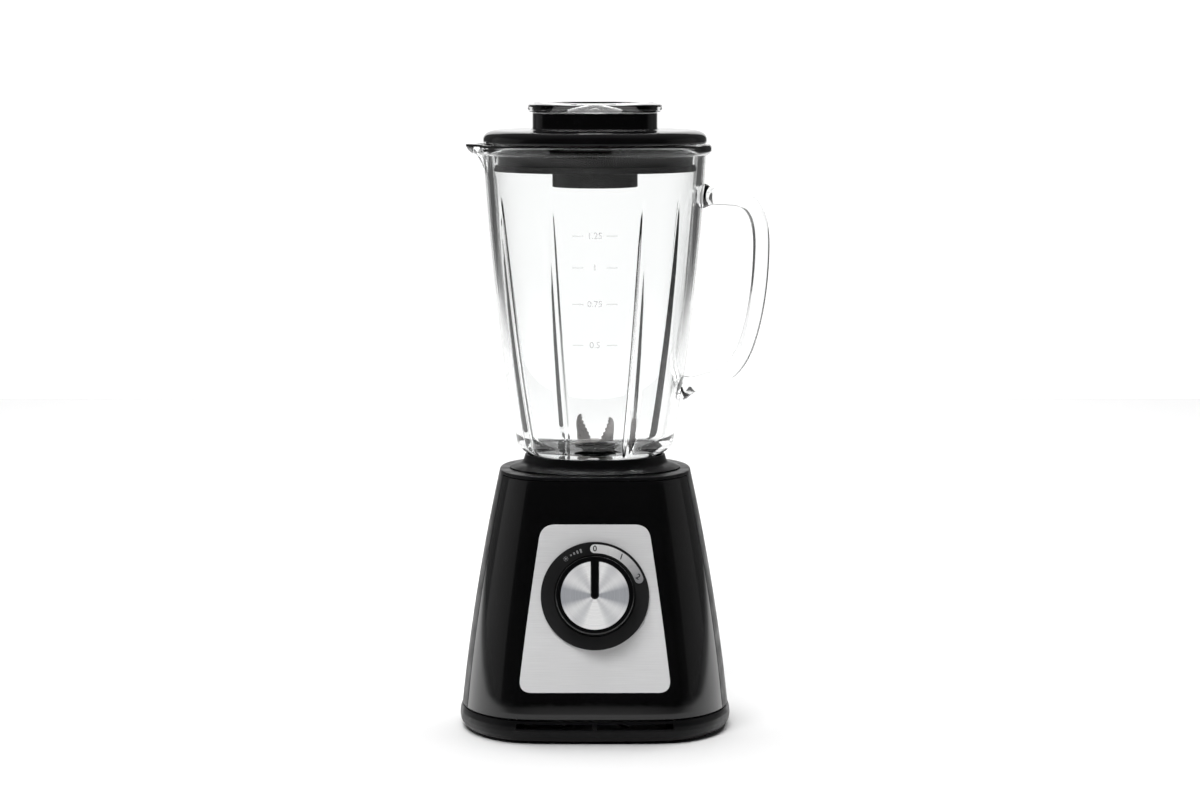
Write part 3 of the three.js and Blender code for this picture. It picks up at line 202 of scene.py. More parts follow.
def quadratic(start, control, end, steps):
    """Points along a quadratic curve, both ends among them."""
    corners = [Vector(point) for point in (start, control, end)]
    return [on_quadratic(*corners, k / steps) for k in range(steps + 1)]


def cubic(start, first, second, end, steps):
    """Points along a cubic curve, both ends among them."""
    points = []
    for k in range(steps + 1):
        t = k / steps
        s = 1 - t
        points.append(Vector(start) * s**3 + Vector(first) * 3 * s * s * t + Vector(second) * 3 * s * t * t
                      + Vector(end) * t**3)
    return points


def filleted(corners, closed=True, steps=5):
    """An outline from corners (a, b) or (a, b, radius), each corner with a radius rounded off."""
    points = []
    count = len(corners)
    for k, corner in enumerate(corners):
        here = Vector(corner[:2])
        at_end = not closed and k in (0, count - 1)
        if len(corner) < 3 or at_end:
            points.append(here)
            continue
        back = Vector(corners[k - 1][:2]) - here
        on = Vector(corners[(k + 1) % count][:2]) - here
        reach = corner[2] / tan(back.angle(on) / 2)
        reach = min(reach, 0.48 * back.length, 0.48 * on.length)
        points += quadratic(here + back.normalized() * reach, here, here + on.normalized() * reach, steps)
    return points


def subdivided(points, longest):
    """The same line with no step longer than a length, so that a turned or lofted skin is even."""
    result = []
    for here, there in zip(points, points[1:]):
        pieces = ceil((there - here).length / longest)
        result.append(here)
        result += [between(here, there, part / pieces) for part in range(1, pieces)]
    return [*result, points[-1]]


def circle(radius, z, count):
    return [Vector((radius * cos(a), radius * sin(a), z)) for a in turns(count)]


def turns(count):
    return [2 * pi * k / count for k in range(count)]


def four_corners(x, y):
    return [(across, along) for across in (-x, x) for along in (-y, y)]


def soft_min(a, b):
    """The smaller of two positive numbers, with a soft change from one to the other."""
    return a if a < 1e-6 else (a**-SECTION_BLEND + b**-SECTION_BLEND) ** (-1 / SECTION_BLEND)


def signed_power(value, power):
    return copysign(abs(value) ** power, value)


def base_point(angle, half_width, z, depth_ratio=1.0):
    """A point on the base's plan section: a superellipse with its front and back pressed flat."""
    flat = soft_min(SECTION_BULGE * abs(sin(angle)) ** (2 / SECTION_POWER), 1)
    x = signed_power(cos(angle), 2 / SECTION_POWER) * half_width
    y = copysign(flat, sin(angle)) * half_width * depth_ratio / soft_min(SECTION_BULGE, 1)
    return Vector((x, y, z))


def squircle_point(angle, half_width, z, power, squareness):
    """A point on a round section, on a rounded square, or between the two by its squareness."""
    on_round = Vector((cos(angle), sin(angle), 0))
    on_square = Vector([signed_power(value, 2 / power) for value in on_round])
    return between(on_round, on_square, squareness) * half_width + Vector((0, 0, z))


def squircle_rings(rows, power, count=256):
    """Rings from rows of (half-width, height, squareness)."""
    return [[squircle_point(a, half, z, power, square) for a in turns(count)] for half, z, square in rows]


def rows_of(points, squareness):
    return [(p.x, p.y, squareness) for p in points]


def housing_half_width(z):
    """The casing's half-width at a height: a gently curved lean."""
    t = (z - HOUSING_LEVEL_Z) / (DECK_TOP_Z - HOUSING_LEVEL_Z)
    return on_quadratic(*HOUSING_HALF_WIDTHS, t)


# The dial's own frame: X across, Y up the leaning face, Z out of it.
DIAL_FRAME = Matrix.Translation(Vector((0, -housing_half_width(DIAL_Z), DIAL_Z)) * MM) @ Matrix.Rotation(
    pi / 2 - FACE_LEAN, 4, "X"
)


# ---- meshes


def skin(rings, closed=True, caps=False):
    """Points and faces over rings of equal length. closed joins the last ring to the first."""
    count = len(rings[0])
    faces = []
    for row in range(len(rings) if closed else len(rings) - 1):
        here = row * count
        there = (row + 1) % len(rings) * count
        for column in range(count):
            across = (column + 1) % count
            faces.append((here + column, here + across, there + across, there + column))
    if caps:
        last = (len(rings) - 1) * count
        faces.append(tuple(reversed(range(count))))
        faces.append(tuple(range(last, last + count)))
    return [point for ring in rings for point in ring], faces


def placed(name, data):
    """A new object in the scene."""
    obj = bpy.data.objects.new(name, data)
    bpy.context.scene.collection.objects.link(obj)
    return obj


def solid(name, points, faces, matrix=None):
    """An object from millimetre points, with doubled points merged and its normals outwards."""
    mesh = bpy.data.meshes.new(name)
    mesh.from_pydata([point * MM for point in points], [], faces)
    body = bmesh.new()
    body.from_mesh(mesh)
    bmesh.ops.remove_doubles(body, verts=body.verts, dist=1e-6)
    bmesh.ops.recalc_face_normals(body, faces=body.faces)
    body.to_mesh(mesh)
    body.free()
    obj = placed(name, mesh)
    if matrix is not None:
        obj.matrix_world = matrix
    return obj


def loft(name, rings, matrix=None):
    return solid(name, *skin(rings, closed=False, caps=True), matrix)


def ring_solid(name, rings, matrix=None):
    return solid(name, *skin(rings, closed=True), matrix)


def turned(name, profile, count=128, matrix=None):
    """A turned piece from a profile of (radius, height). It closes on itself or ends on the axis."""
    rings = [circle(max(point[0], 0.0), point[1], count) for point in profile]
    on_axis = profile[0][0] < 1e-6 and profile[-1][0] < 1e-6
    return solid(name, *skin(rings, closed=not on_axis), matrix)


def extruded(name, outline, low, high, matrix=None, bevel=0.0):
    """A flat outline given a thickness. A bevel eases its top edge."""
    centre = sum(outline, Vector((0, 0))) / len(outline)
    levels = [(low, 0.0), (high - bevel, 0.0), (high, bevel)] if bevel else [(low, 0.0), (high, 0.0)]
    rings = [[(p + (centre - p).normalized() * inset).to_3d() + Vector((0, 0, z)) for p in outline]
             for z, inset in levels]
    return loft(name, rings, matrix)


def block(name, low, high):
    xs, ys, zs = zip(low, high)
    plan = ((xs[0], ys[0]), (xs[1], ys[0]), (xs[1], ys[1]), (xs[0], ys[1]))
    return loft(name, [[Vector((x, y, z)) for x, y in plan] for z in zs])


def rod(name, radius, low, high, x=0.0, y=0.0, count=32):
    rings = [[p + Vector((x, y, 0)) for p in circle(radius, z, count)] for z in (low, high)]
    return loft(name, rings)


def shift(obj, x, y, z):
    """Moves an object's mesh by a distance in millimetres."""
    obj.data.transform(Matrix.Translation(Vector((x, y, z)) * MM))


def spin(obj, angle, axis="Z"):
    obj.data.transform(Matrix.Rotation(angle, 4, axis))


def sleeve(name, inner, outer, low, high, place):
    """An upright tube that stands at a place on the plan."""
    tube = turned(name, [(inner, low), (outer, low), (outer, high), (inner, high)], 32)
    shift(tube, *place, 0)
    return tube


def apply_modifiers(obj):
    graph = bpy.context.evaluated_depsgraph_get()
    finished = bpy.data.meshes.new_from_object(obj.evaluated_get(graph))
    obj.modifiers.clear()
    spare = obj.data
    obj.data = finished
    bpy.data.meshes.remove(spare)


def combine(obj, tools, operation):
    """Joins or cuts an object with tools, which are used up."""
    for tool in tools:
        step = obj.modifiers.new("combine", "BOOLEAN")
        step.operation = operation
        step.solver = "EXACT"
        step.object = tool
    apply_modifiers(obj)
    for tool in tools:
        bpy.data.objects.remove(tool)


def merge(obj, others):
    """Adds the meshes of other objects to one object as they are."""
    body = bmesh.new()
    body.from_mesh(obj.data)
    inverse = obj.matrix_world.inverted()
    for other in others:
        mesh = other.data.copy()
        mesh.transform(inverse @ other.matrix_world)
        body.from_mesh(mesh)
        bpy.data.objects.remove(other)
    body.to_mesh(obj.data)
    body.free()


def ease_edges(obj, width):
    """Rounds the sharp edges that a cut has left."""
    step = obj.modifiers.new("ease", "BEVEL")
    step.width = width * MM
    step.segments = 2
    step.limit_method = "ANGLE"
    step.angle_limit = radians(40)
    step.use_clamp_overlap = True
    apply_modifiers(obj)


def settle(obj, like, look=None, replaces=True, crease=35):
    """Gives a finished piece its look (the one for the CAD node's slot), its shading and its body, those of
    the CAD node it is like.
    """
    obj.data.transform(obj.matrix_basis)
    obj.matrix_basis = Matrix.Identity(4)
    obj.data.materials.clear()
    obj.data.materials.append(look or LOOKS[SLOT_OF[like]])
    obj.data.polygons.foreach_set("use_smooth", [True] * len(obj.data.polygons))
    obj.data.set_sharp_from_angle(angle=radians(crease))
    obj.data.update()
    bpy.context.view_layer.update()
    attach(obj, BODY_OF[like])
    if replaces:
        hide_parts(like)


# ---- materials


def feed(tree, socket, source):
    """Links a socket to another node's output, or sets it to a plain value."""
    if isinstance(source, bpy.types.NodeSocket):
        tree.links.new(source, socket)
    else:
        socket.default_value = source


def add_node(tree, kind, *sources, settings=(), **named):
    """A new node with its settings. Sources feed its first sockets in order, and others by name."""
    node = tree.nodes.new("ShaderNode" + kind)
    for setting, value in dict(settings).items():
        setattr(node, setting, value)
    for socket, source in zip(node.inputs, sources):
        feed(tree, socket, source)
    for name, source in named.items():
        feed(tree, node.inputs[name.replace("_", " ")], source)
    return node


def ramp(tree, value, start, end, low=0.0, high=1.0, kind="LINEAR"):
    """A value's stretch from start to end, turned into one from low to high."""
    settings = {"interpolation_type": kind}
    limits = {"From_Min": start, "From_Max": end, "To_Min": low, "To_Max": high}
    return add_node(tree, "MapRange", value, settings=settings, **limits).outputs["Result"]


class Finish:
    """A Principled material and the node helpers that give it its detail, in object coordinates."""

    def __init__(self, name, color, roughness, metallic=0.0, on_dial=False, **sockets):
        self.material = bpy.data.materials.new(name)
        self.material.use_nodes = True
        self.tree = self.material.node_tree
        self.shader = self.tree.nodes["Principled BSDF"]
        self.color = color
        self.set("Base Color", (*color, 1))
        self.set("Roughness", roughness)
        self.set("Metallic", metallic)
        for socket, value in sockets.items():
            self.set(socket.replace("_", " "), value)
        self.on_object = self.add("TexCoord").outputs["Object"]
        self.place = self.on_object
        if on_dial:
            turn = DIAL_FRAME.to_euler()
            self.place = self.add("Mapping", self.on_object, settings={"vector_type": "TEXTURE"},
                                  Location=DIAL_FRAME.translation, Rotation=turn).outputs["Vector"]

    def set(self, socket, source):
        feed(self.tree, self.shader.inputs[socket], source)

    def add(self, kind, *sources, **rest):
        return add_node(self.tree, kind, *sources, **rest)

    def calculate(self, operation, *sources):
        return self.add("Math", *sources, settings={"operation": operation}).outputs["Value"]

    def calculate_vector(self, operation, *sources):
        return self.add("VectorMath", *sources, settings={"operation": operation}).outputs["Vector"]

    def axes(self):
        """The three coordinates, as separate outputs."""
        return self.add("SeparateXYZ", self.place).outputs

    def stretched(self, scale):
        return self.add("Mapping", self.place, Scale=scale).outputs["Vector"]

    def noise(self, scale, detail=3.0, where=None):
        return self.add("TexNoise", where or self.place, Scale=scale, Detail=detail).outputs["Fac"]

    def spread(self, value, low, high):
        """A value round 0.5 spread out to lie between two numbers."""
        return ramp(self.tree, value, 0.3, 0.7, low, high)

    def fade(self, value, start, end):
        """0 at the start, 1 at the end, with a soft change between."""
        return ramp(self.tree, value, start, end, kind="SMOOTHSTEP")

    def vary_roughness(self, value, low, high):
        self.set("Roughness", self.spread(value, low, high))

    def mix_color(self, factor, other):
        mix = self.add("Mix", settings={"data_type": "RGBA"}, Factor=factor, B=(*other, 1))
        mix.inputs["A"].default_value = (*self.color, 1)
        self.set("Base Color", mix.outputs["Result"])

    def vary_color(self, value, other):
        self.mix_color(self.spread(value, 0, 1), other)

    def surface(self, roughness, color, grain):
        """Roughness (scale, low, high), colour (scale, other) and grain (scale, detail, depth)."""
        self.vary_roughness(self.noise(roughness[0]), *roughness[1:])
        self.vary_color(self.noise(color[0]), color[1])
        self.bump(self.noise(*grain[:2]), grain[2])
        return self.material

    def bump(self, value, depth_mm):
        node = self.add("Bump", Strength=1.0, Distance=depth_mm * MM, Height=value)
        self.set("Normal", node.outputs["Normal"])


def gloss_black():
    finish = Finish("gloss_black", (0.0022, 0.0022, 0.0024), 0.07)
    return finish.surface((140, 0.05, 0.10), (40, (0.0032, 0.0032, 0.0035)), (60, 1.0, 0.004))


def matte_black(name="matte_black", color=(0.0030, 0.0030, 0.0033), roughness=0.38):
    finish = Finish(name, color, roughness, IOR=1.28)
    paler = tuple(c * 1.5 for c in color)
    return finish.surface((90, roughness - 0.06, roughness + 0.08), (30, paler), (2600, 2.0, 0.012))


def rubber():
    finish = Finish("rubber", (0.010, 0.010, 0.010), 0.8)
    return finish.surface((200, 0.7, 0.9), (120, (0.018, 0.018, 0.017)), (1800, 3.0, 0.02))


def brushed_aluminium():
    finish = Finish("brushed_aluminium", (0.72, 0.72, 0.725), 0.45, 0.05, on_dial=True, Anisotropic=0.5)
    hairs = finish.noise(1.0, 4.0, finish.stretched((60, 3800, 300)))
    finish.vary_roughness(hairs, 0.38, 0.52)
    finish.vary_color(finish.noise(1.0, 4.0, finish.stretched((45, 2600, 200))), (0.79, 0.79, 0.795))
    finish.bump(hairs, 0.006)
    return finish.material


def spun_metal():
    """Concentric turning marks and a real anisotropic sheen, with light and dark fans painted into the colour
    by angle round the axis: painted highlights like those such a disc shows.
    """
    finish = Finish("spun_metal", (0.40, 0.41, 0.44), 0.3, 0.15, on_dial=True, Anisotropic=0.8)
    axes = finish.axes()
    angle = finish.calculate("ARCTAN2", axes["Y"], axes["X"])
    # Painted highlights: the base colour turns lighter and darker in fans by angle round the disc's axis.
    painted_highlight_fans = 0.55
    for lobes, weight in ((2, 0.24), (6, 0.15)):
        wave = finish.calculate("COSINE", finish.calculate("MULTIPLY", angle, lobes))
        painted_highlight_fans = finish.calculate("MULTIPLY_ADD", wave, -weight, painted_highlight_fans)
    finish.vary_color(painted_highlight_fans, (1.0, 1.0, 1.0))
    flat = finish.stretched((1, 1, 0))
    length = finish.add("VectorMath", flat, settings={"operation": "LENGTH"}).outputs["Value"]
    rings = finish.add("TexNoise", settings={"noise_dimensions": "1D"}, W=length, Scale=3800).outputs["Fac"]
    finish.vary_roughness(rings, 0.24, 0.34)
    finish.bump(rings, 0.001)
    from_centre = finish.calculate_vector("SUBTRACT", finish.on_object, DIAL_FRAME.translation)
    around = finish.calculate_vector("CROSS_PRODUCT", DIAL_FRAME.col[2].xyz, from_centre)
    finish.set("Tangent", finish.calculate_vector("NORMALIZE", around))
    return finish.material


def steel():
    finish = Finish("steel", (0.52, 0.49, 0.485), 0.34, metallic=0.5)
    marks = finish.noise(1.0, 4.0, finish.stretched((400, 2400, 400)))
    finish.vary_roughness(marks, 0.24, 0.42)
    finish.vary_color(finish.noise(90), (0.60, 0.57, 0.565))
    finish.bump(marks, 0.006)
    return finish.material


def plain_metal(name, color, other, roughness):
    finish = Finish(name, color, roughness, metallic=0.9)
    return finish.surface((260, roughness - 0.08, roughness + 0.12), (110, other), (1200, 3.0, 0.008))


def printed(name, color, other):
    return Finish(name, color, 0.35).surface((300, 0.28, 0.42), (500, other), (3000, 3.0, 0.003))


def scale_print():
    """The scale band fades from white at 0 to grey at its other end, clockwise round the dial."""
    finish = Finish("scale_white", (0.88, 0.88, 0.88), 0.3, on_dial=True)
    axes = finish.axes()
    angle = finish.calculate("ARCTAN2", axes["X"], axes["Y"])
    start, end = SCALE_FADE
    finish.mix_color(ramp(finish.tree, angle, radians(start), radians(end)), (0.27, 0.27, 0.28))
    finish.vary_roughness(finish.noise(300), 0.25, 0.4)
    finish.bump(finish.noise(2500), 0.003)
    return finish.material


def clear(name, color, roughness, ior, ripple):
    finish = Finish(name, color, roughness, IOR=ior, Transmission_Weight=1.0)
    finish.vary_roughness(finish.noise(50), 0.0, roughness)
    finish.bump(finish.noise(22, 1.0), ripple)
    return finish.material


def mark_print():
    finish = Finish("faint_print", (0.45, 0.45, 0.46), 0.5, Alpha=0.32)
    finish.vary_roughness(finish.noise(900), 0.4, 0.6)
    finish.vary_color(finish.noise(1500), (0.55, 0.55, 0.55))
    return finish.material


def floor_finish():
    """Pale under and behind the blender, and grey in front of it and far out to the sides."""
    finish = Finish("studio_floor", FLOOR_PALE, 0.75)
    finish.vary_roughness(finish.noise(3), 0.7, 0.8)
    axes = finish.axes()
    right = finish.fade(axes["X"], 0.75, 1.4)
    left = finish.fade(axes["X"], -0.75, -1.4)
    front = finish.fade(axes["Y"], -0.32, -0.75)
    sides = finish.calculate("ADD", right, left)
    finish.mix_color(finish.calculate("ADD", sides, front), FLOOR_GREY)
    return finish.material


def backdrop_finish():
    finish = Finish("lit_backdrop", (0.2, 0.2, 0.2), 0.9, Emission_Color=(1, 1, 1, 1), Emission_Strength=0.92)
    finish.vary_roughness(finish.noise(2), 0.85, 0.95)
    return finish.material


LOOKS = {
    "gloss_black": gloss_black(),
    "matte_black": matte_black(),
    "rubber": rubber(),
    "steel": steel(),
    "brushed_aluminium": brushed_aluminium(),
    "spun_metal": spun_metal(),
    "scale_white": scale_print(),
    "nylon": matte_black("nylon", (0.02, 0.02, 0.022), 0.55),
    "iron": plain_metal("iron", (0.16, 0.165, 0.175), (0.22, 0.22, 0.23), 0.5),
    "copper": plain_metal("copper", (0.62, 0.29, 0.15), (0.70, 0.36, 0.20), 0.35),
    "brass": plain_metal("brass", (0.62, 0.45, 0.20), (0.70, 0.53, 0.27), 0.35),
    "carbon": matte_black("carbon", (0.02, 0.02, 0.02), 0.7),
    "glass": clear("glass", (0.985, 0.992, 0.99), 0.02, 1.5, 0.05),
    "clear_plastic": clear("clear_plastic", (0.98, 0.98, 0.98), 0.05, 1.49, 0.02),
}
BEZEL_BLACK = matte_black("bezel_black", (0.013, 0.013, 0.0135), 0.5)
PRINT_DARK = printed("dark_print", (0.012, 0.012, 0.013), (0.03, 0.03, 0.03))
PRINT_GREY = printed("grey_print", (0.30, 0.30, 0.31), (0.36, 0.36, 0.37))
PRINT_FAINT = mark_print()


# ---- base casing


def split_y(z):
    return between(SPLIT_BOTTOM_Y, SPLIT_TOP_Y, z / (DECK_TOP_Z - DECK_THICKNESS))


def split_angle(z, half_width, shift):
    """Where the casing's section crosses the split plane, as an angle back from the +X side."""
    return halving(pi / 2, 40, lambda angle: base_point(-angle, half_width, z).y > split_y(z) + shift)


def wall_rows(bottom, top, ease=0.7, steps=44):
    """Heights and insets of the casing's outer rows, with eased edges at the bottom and the top."""
    corner = [(bottom + ease * (1 - cos(a)), ease * (1 - sin(a)))
              for a in (k * pi / 8 for k in range(5))]
    middle = [(between(bottom + ease, top - ease, k / steps), 0.0) for k in range(1, steps)]
    return corner + middle + [(bottom + top - z, inset) for z, inset in reversed(corner)]


def foot_strip(z):
    """The front panel's lowest strip leans less: how much its depth shrinks at a height."""
    above = STRIP_TOP_Z + log1p(exp((z - STRIP_TOP_Z) / STRIP_SOFTNESS)) * STRIP_SOFTNESS
    upright = housing_half_width(above) / housing_half_width(z)
    return between(1.0, upright, STRIP_UPRIGHT)


def casing_wall(name, bottom, top, front, count=150):
    """The front or rear part of the leaning casing, as a closed shell between the split lines."""
    shift = -SPLIT_GAP if front else 0.0
    rings = []
    for z, inset in wall_rows(bottom, top):
        outer = housing_half_width(z) - inset
        inner = housing_half_width(z) - SHELL_THICKNESS
        edges = [split_angle(z, half_width, shift) for half_width in (outer, inner)]
        ring = []
        for half_width, edge, forward in ((outer, edges[0], True), (inner, edges[1], False)):
            for k in range(count + 1):
                t = k / count if forward else 1 - k / count
                if front:
                    angle = between(-pi + edge, -edge, t)
                else:
                    angle = between(-edge, pi + edge, t)
                point = base_point(angle, half_width, z)
                if front:
                    point.y *= foot_strip(z)
                ring.append(point)
        rings.append(ring)
    return loft(name, rings)


def plate_outline(margin):
    """The front plate's rounded trapezoid, grown by a margin, with slightly full sides."""
    steps = 14
    top = PLATE_TOP + margin
    bottom = PLATE_BOTTOM - margin
    half_top = PLATE_HALF_TOP + margin
    half_bottom = PLATE_HALF_BOTTOM + margin
    corner = PLATE_CORNER
    run = (half_bottom - half_top) / (top - bottom)
    middle = ((half_top + half_bottom) / 2 + PLATE_FULLNESS, (top + bottom) / 2)
    low = (half_bottom - corner * run, bottom + corner)
    high = (half_top + corner * run, top - corner)
    right = quadratic((half_bottom - corner, bottom), (half_bottom, bottom), low, steps)
    right += quadratic(low, middle, high, steps)[1:]
    right += quadratic(high, (half_top, top), (half_top - corner, top), steps)[1:]
    return right + [Vector((-p.x, p.y)) for p in reversed(right)]


def front_panel():
    panel = casing_wall("front_panel_skin", HOUSING_BOTTOM_Z, DECK_TOP_Z - DECK_THICKNESS - SPLIT_GAP, True)
    backing = extruded("backing", plate_outline(6), -RECESS_DEPTH - 2.2, -RECESS_DEPTH + 0.2, DIAL_FRAME)
    combine(panel, [backing], "UNION")
    recess = extruded("recess", plate_outline(RECESS_MARGIN), -RECESS_DEPTH, 12, DIAL_FRAME)
    shaft_hole = rod("shaft_hole", 5, -12, 12)
    shaft_hole.matrix_world = DIAL_FRAME
    combine(panel, [recess, shaft_hole], "DIFFERENCE")
    settle(panel, "front_panel")


def deck():
    """The top deck: a plate with the casing's outline, an eased edge and a round hole."""
    top, thickness, count = DECK_TOP_Z, DECK_THICKNESS, 256
    ease = 0.9
    rows = [(top - thickness, 0.3), (top - thickness + 0.3, 0.0), (top - ease, 0.0)]
    rows += [(top - ease * (1 - sin(a)), ease * (1 - cos(a))) for a in (0.4, 0.8, 1.2, pi / 2)]
    rings = [[base_point(a, housing_half_width(z) - inset, z) for a in turns(count)] for z, inset in rows]
    edge = rings[-1]
    inner = [Vector((p.x, p.y, 0)).normalized() * DECK_HOLE_RADIUS for p in edge]
    for t in (0.3, 0.7, 1.0):
        rings.append([Vector((between(p.x, q.x, t), between(p.y, q.y, t), top)) for p, q in zip(edge, inner)])
    rings.append([Vector((q.x, q.y, top - thickness)) for q in inner])
    return ring_solid("deck", rings)


def rear_shell():
    """The rear casing with its vents, the deck over it and the posts that carry the motor."""
    shell = casing_wall("rear_shell_skin", HOUSING_BOTTOM_Z, DECK_TOP_Z - 1.2, False)
    heights = [48 + VENT_PITCH * k for k in range(VENTS)]
    combine(shell, [block("slot", (-26, 60, z), (26, 100, z + 3)) for z in heights], "DIFFERENCE")
    ease_edges(shell, 0.3)
    posts = [sleeve("post", 1.8, 4.6, 142, 164, place) for place in four_corners(*POST_PLACE)]
    merge(shell, [deck(), *posts])
    settle(shell, "rear_shell")


def tray_cuts():
    """The slit in the tray's front, the intakes in its floor, and its holes."""
    mouth = block("mouth", (-49.5, -95, 9.5), (49.5, -80, 13))
    combine(mouth, [block("nub", (-1.2, -95, 9), (1.2, -80, 13.5))], "DIFFERENCE")
    cuts = [mouth]
    for k in range(INTAKES):
        slot = block("intake", (35, -1.8, 0), (53, 1.8, 9))
        spin(slot, (k + 0.5) * 2 * pi / INTAKES)
        cuts.append(slot)
    cuts += [rod("foot_hole", 5.2, 0, 6, x, y) for x, y in four_corners(*FOOT_PLACE)]
    cuts += [rod("screw_hole", 3.8, 0, 8, x, y) for x, y in four_corners(*SCREW_PLACE)]
    gland = rod("gland_hole", 4.6, -7, 7)
    spin(gland, pi / 2, "X")
    shift(gland, 0, TRAY_HALF_WIDTH * TRAY_DEPTH_RATIO - 3, 8.2)
    return [*cuts, gland]


def base_tray():
    """The flared foot of the base, hollow from above, with its screw bosses and label pad."""
    outer = filleted([(-4.6, UNDERSIDE_Z), (-2.6, UNDERSIDE_Z, 0.8), (-0.5, 5.0, 3.0), (0.0, 8.0, 4.0),
                      (-0.3, 11.0, 4.0), (-1.5, TRAY_TOP_Z, 0.6), (-4.1, TRAY_TOP_Z, 0.4),
                      (-4.1, TRAY_FLOOR_Z)], closed=False)
    rings = [[base_point(a, TRAY_HALF_WIDTH + out, z, TRAY_DEPTH_RATIO) for a in turns(288)]
             for out, z in outer]
    tray = loft("base_tray_skin", rings)
    combine(tray, tray_cuts(), "DIFFERENCE")
    bosses = [sleeve("boss", 1.9, 5.6, 4, 12, place) for place in four_corners(*SCREW_PLACE)]
    pad = turned("pad", filleted([(0, 1.6), (28, 1.6, 0.3), (28, 2.4), (0, 2.4)]), 96)
    merge(tray, [*bosses, pad])
    settle(tray, "base_tray")


def jar_seat():
    """The collar: an upright lip that sweeps out into a flat skirt, and the coupling's well."""
    rim, floor = SEAT_RIM_Z, SEAT_FLOOR_Z
    profile = [(8, 142), (22, 142), (22, 164), (43.1, 164), (43.4, 165.9), (54, 165.9)]
    profile += quadratic((54, 165.9), (54.8, 165.9), (54.8, 166.4), 4)[1:]
    profile += quadratic((54.8, 166.4), (51, 168.4), (48.4, 169), 8)[1:]
    profile += quadratic((48.4, 169), (45.9, 169.8), (45.5, 172), 8)[1:]
    profile += quadratic((44.9, rim - 0.5), (44.6, rim), (44.2, rim), 4)
    profile += quadratic((43.7, rim), (43.1, rim), (43.1, rim - 0.6), 4)
    profile += filleted([(43.1, rim - 0.6), (42.1, 169, 2.5), (38.6, floor, 2), (20, floor, 0.8),
                         (20, 144, 1.5), (8, 144)], closed=False)[1:]
    settle(turned("jar_seat_skin", profile, 192), "jar_seat")


def feet():
    profile = filleted([(0, 0), (8.7, 0, 0.5), (9, 1.7, 0.3), (4.7, 1.7), (4.7, 4.8), (6, 4.8, 0.3),
                        (4, 7, 0.8), (0, 7)])
    for number in (1, 2, 3, 4):
        node = f"foot_{number}"
        low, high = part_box(node)
        foot = turned(f"{node}_skin", profile, 64)
        foot.location = Vector(((low.x + high.x) / 2, (low.y + high.y) / 2, 0))
        settle(foot, node)


# ---- dial


def clockwise(radius, degrees, height=0.0):
    """A point on the dial, its angle clockwise from the top."""
    angle = radians(degrees)
    return Vector((radius * sin(angle), radius * cos(angle), height))


def fascia_plate():
    back = -RECESS_DEPTH + GAP
    plate = extruded("fascia_plate_skin", plate_outline(0), back, back + 0.8, DIAL_FRAME, bevel=0.2)
    hole = rod("hole", 31, -6, 6, count=128)
    hole.matrix_world = DIAL_FRAME
    combine(plate, [hole], "DIFFERENCE")
    settle(plate, "fascia_plate")


def scale_outline(inner, outer, start, end, steps=48):
    """The scale band, with round ends."""
    middle, half = (inner + outer) / 2, (outer - inner) / 2
    points = [clockwise(outer, between(start, end, k / steps)).xy for k in range(steps + 1)]
    for edge, side in ((end, 1), (start, -1)):
        centre = clockwise(middle, edge)
        along = clockwise(1, edge + 90 * side)
        out = clockwise(1, edge) * side
        for k in range(1, 10):
            a = pi * k / 10
            points.append((centre + (out * cos(a) + along * sin(a)) * half).xy)
        if side == 1:
            points += [clockwise(inner, between(end, start, k / steps)).xy for k in range(steps + 1)]
    return points


def dial_bezel():
    face = BEZEL_FACE
    rim = BEZEL_RADIUS
    profile = filleted([(6, -0.9), (30.6, -0.9), (30.6, 0.2), (rim, 0.2, 0.2), (rim, face, 0.7),
                        (25.6, face, 0.3), (25, face - 0.9, 0.3), (6, face - 0.9)])
    bezel = turned("dial_bezel_skin", profile, 192, DIAL_FRAME)
    outline = scale_outline(SCALE_INNER - 0.2, SCALE_OUTER + 0.2, SCALE_FROM - 0.5, SCALE_TO + 0.5)
    groove = extruded("groove", outline, face - 0.6, face + 1, DIAL_FRAME)
    combine(bezel, [groove], "DIFFERENCE")
    settle(bezel, "dial_bezel", BEZEL_BLACK)


def dial_scale():
    outline = scale_outline(SCALE_INNER, SCALE_OUTER, SCALE_FROM, SCALE_TO)
    band = extruded("dial_scale_skin", outline, 1.9, 2.32, DIAL_FRAME)
    settle(band, "dial_scale")


def lettering(name, text, size, stroke=0.0):
    """A number as a flat mesh, centred on its own origin, in metres."""
    curve = bpy.data.curves.new(name, "FONT")
    curve.body = text
    curve.size = size * MM
    curve.align_x = "CENTER"
    curve.align_y = "CENTER"
    curve.extrude = 0.03 * MM
    curve.resolution_u = 6
    curve.offset = stroke * MM
    carrier = placed(name, curve)
    bpy.context.view_layer.update()
    graph = bpy.context.evaluated_depsgraph_get()
    mesh = bpy.data.meshes.new_from_object(carrier.evaluated_get(graph))
    bpy.data.objects.remove(carrier)
    return placed(name, mesh)


def dial_numbers():
    for number, degrees in enumerate(DIGIT_ANGLES):
        digit = lettering(f"dial_number_{number}", str(number), 5.0, stroke=0.09)
        spot = Matrix.Translation(clockwise(DIGIT_RADIUS, degrees, 2.35) * MM)
        digit.matrix_world = DIAL_FRAME @ spot @ Matrix.Rotation(-radians(degrees) * 0.5, 4, "Z")
        settle(digit, "dial_scale", PRINT_DARK, replaces=False)


def raised_bar(name, low, high, corner):
    """A small flat bar with round corners, proud of the bezel's face."""
    corners = ((low[0], low[1]), (high[0], low[1]), (high[0], high[1]), (low[0], high[1]))
    return extruded(name, filleted([(x, y, corner) for x, y in corners]), -0.1, 0.03)


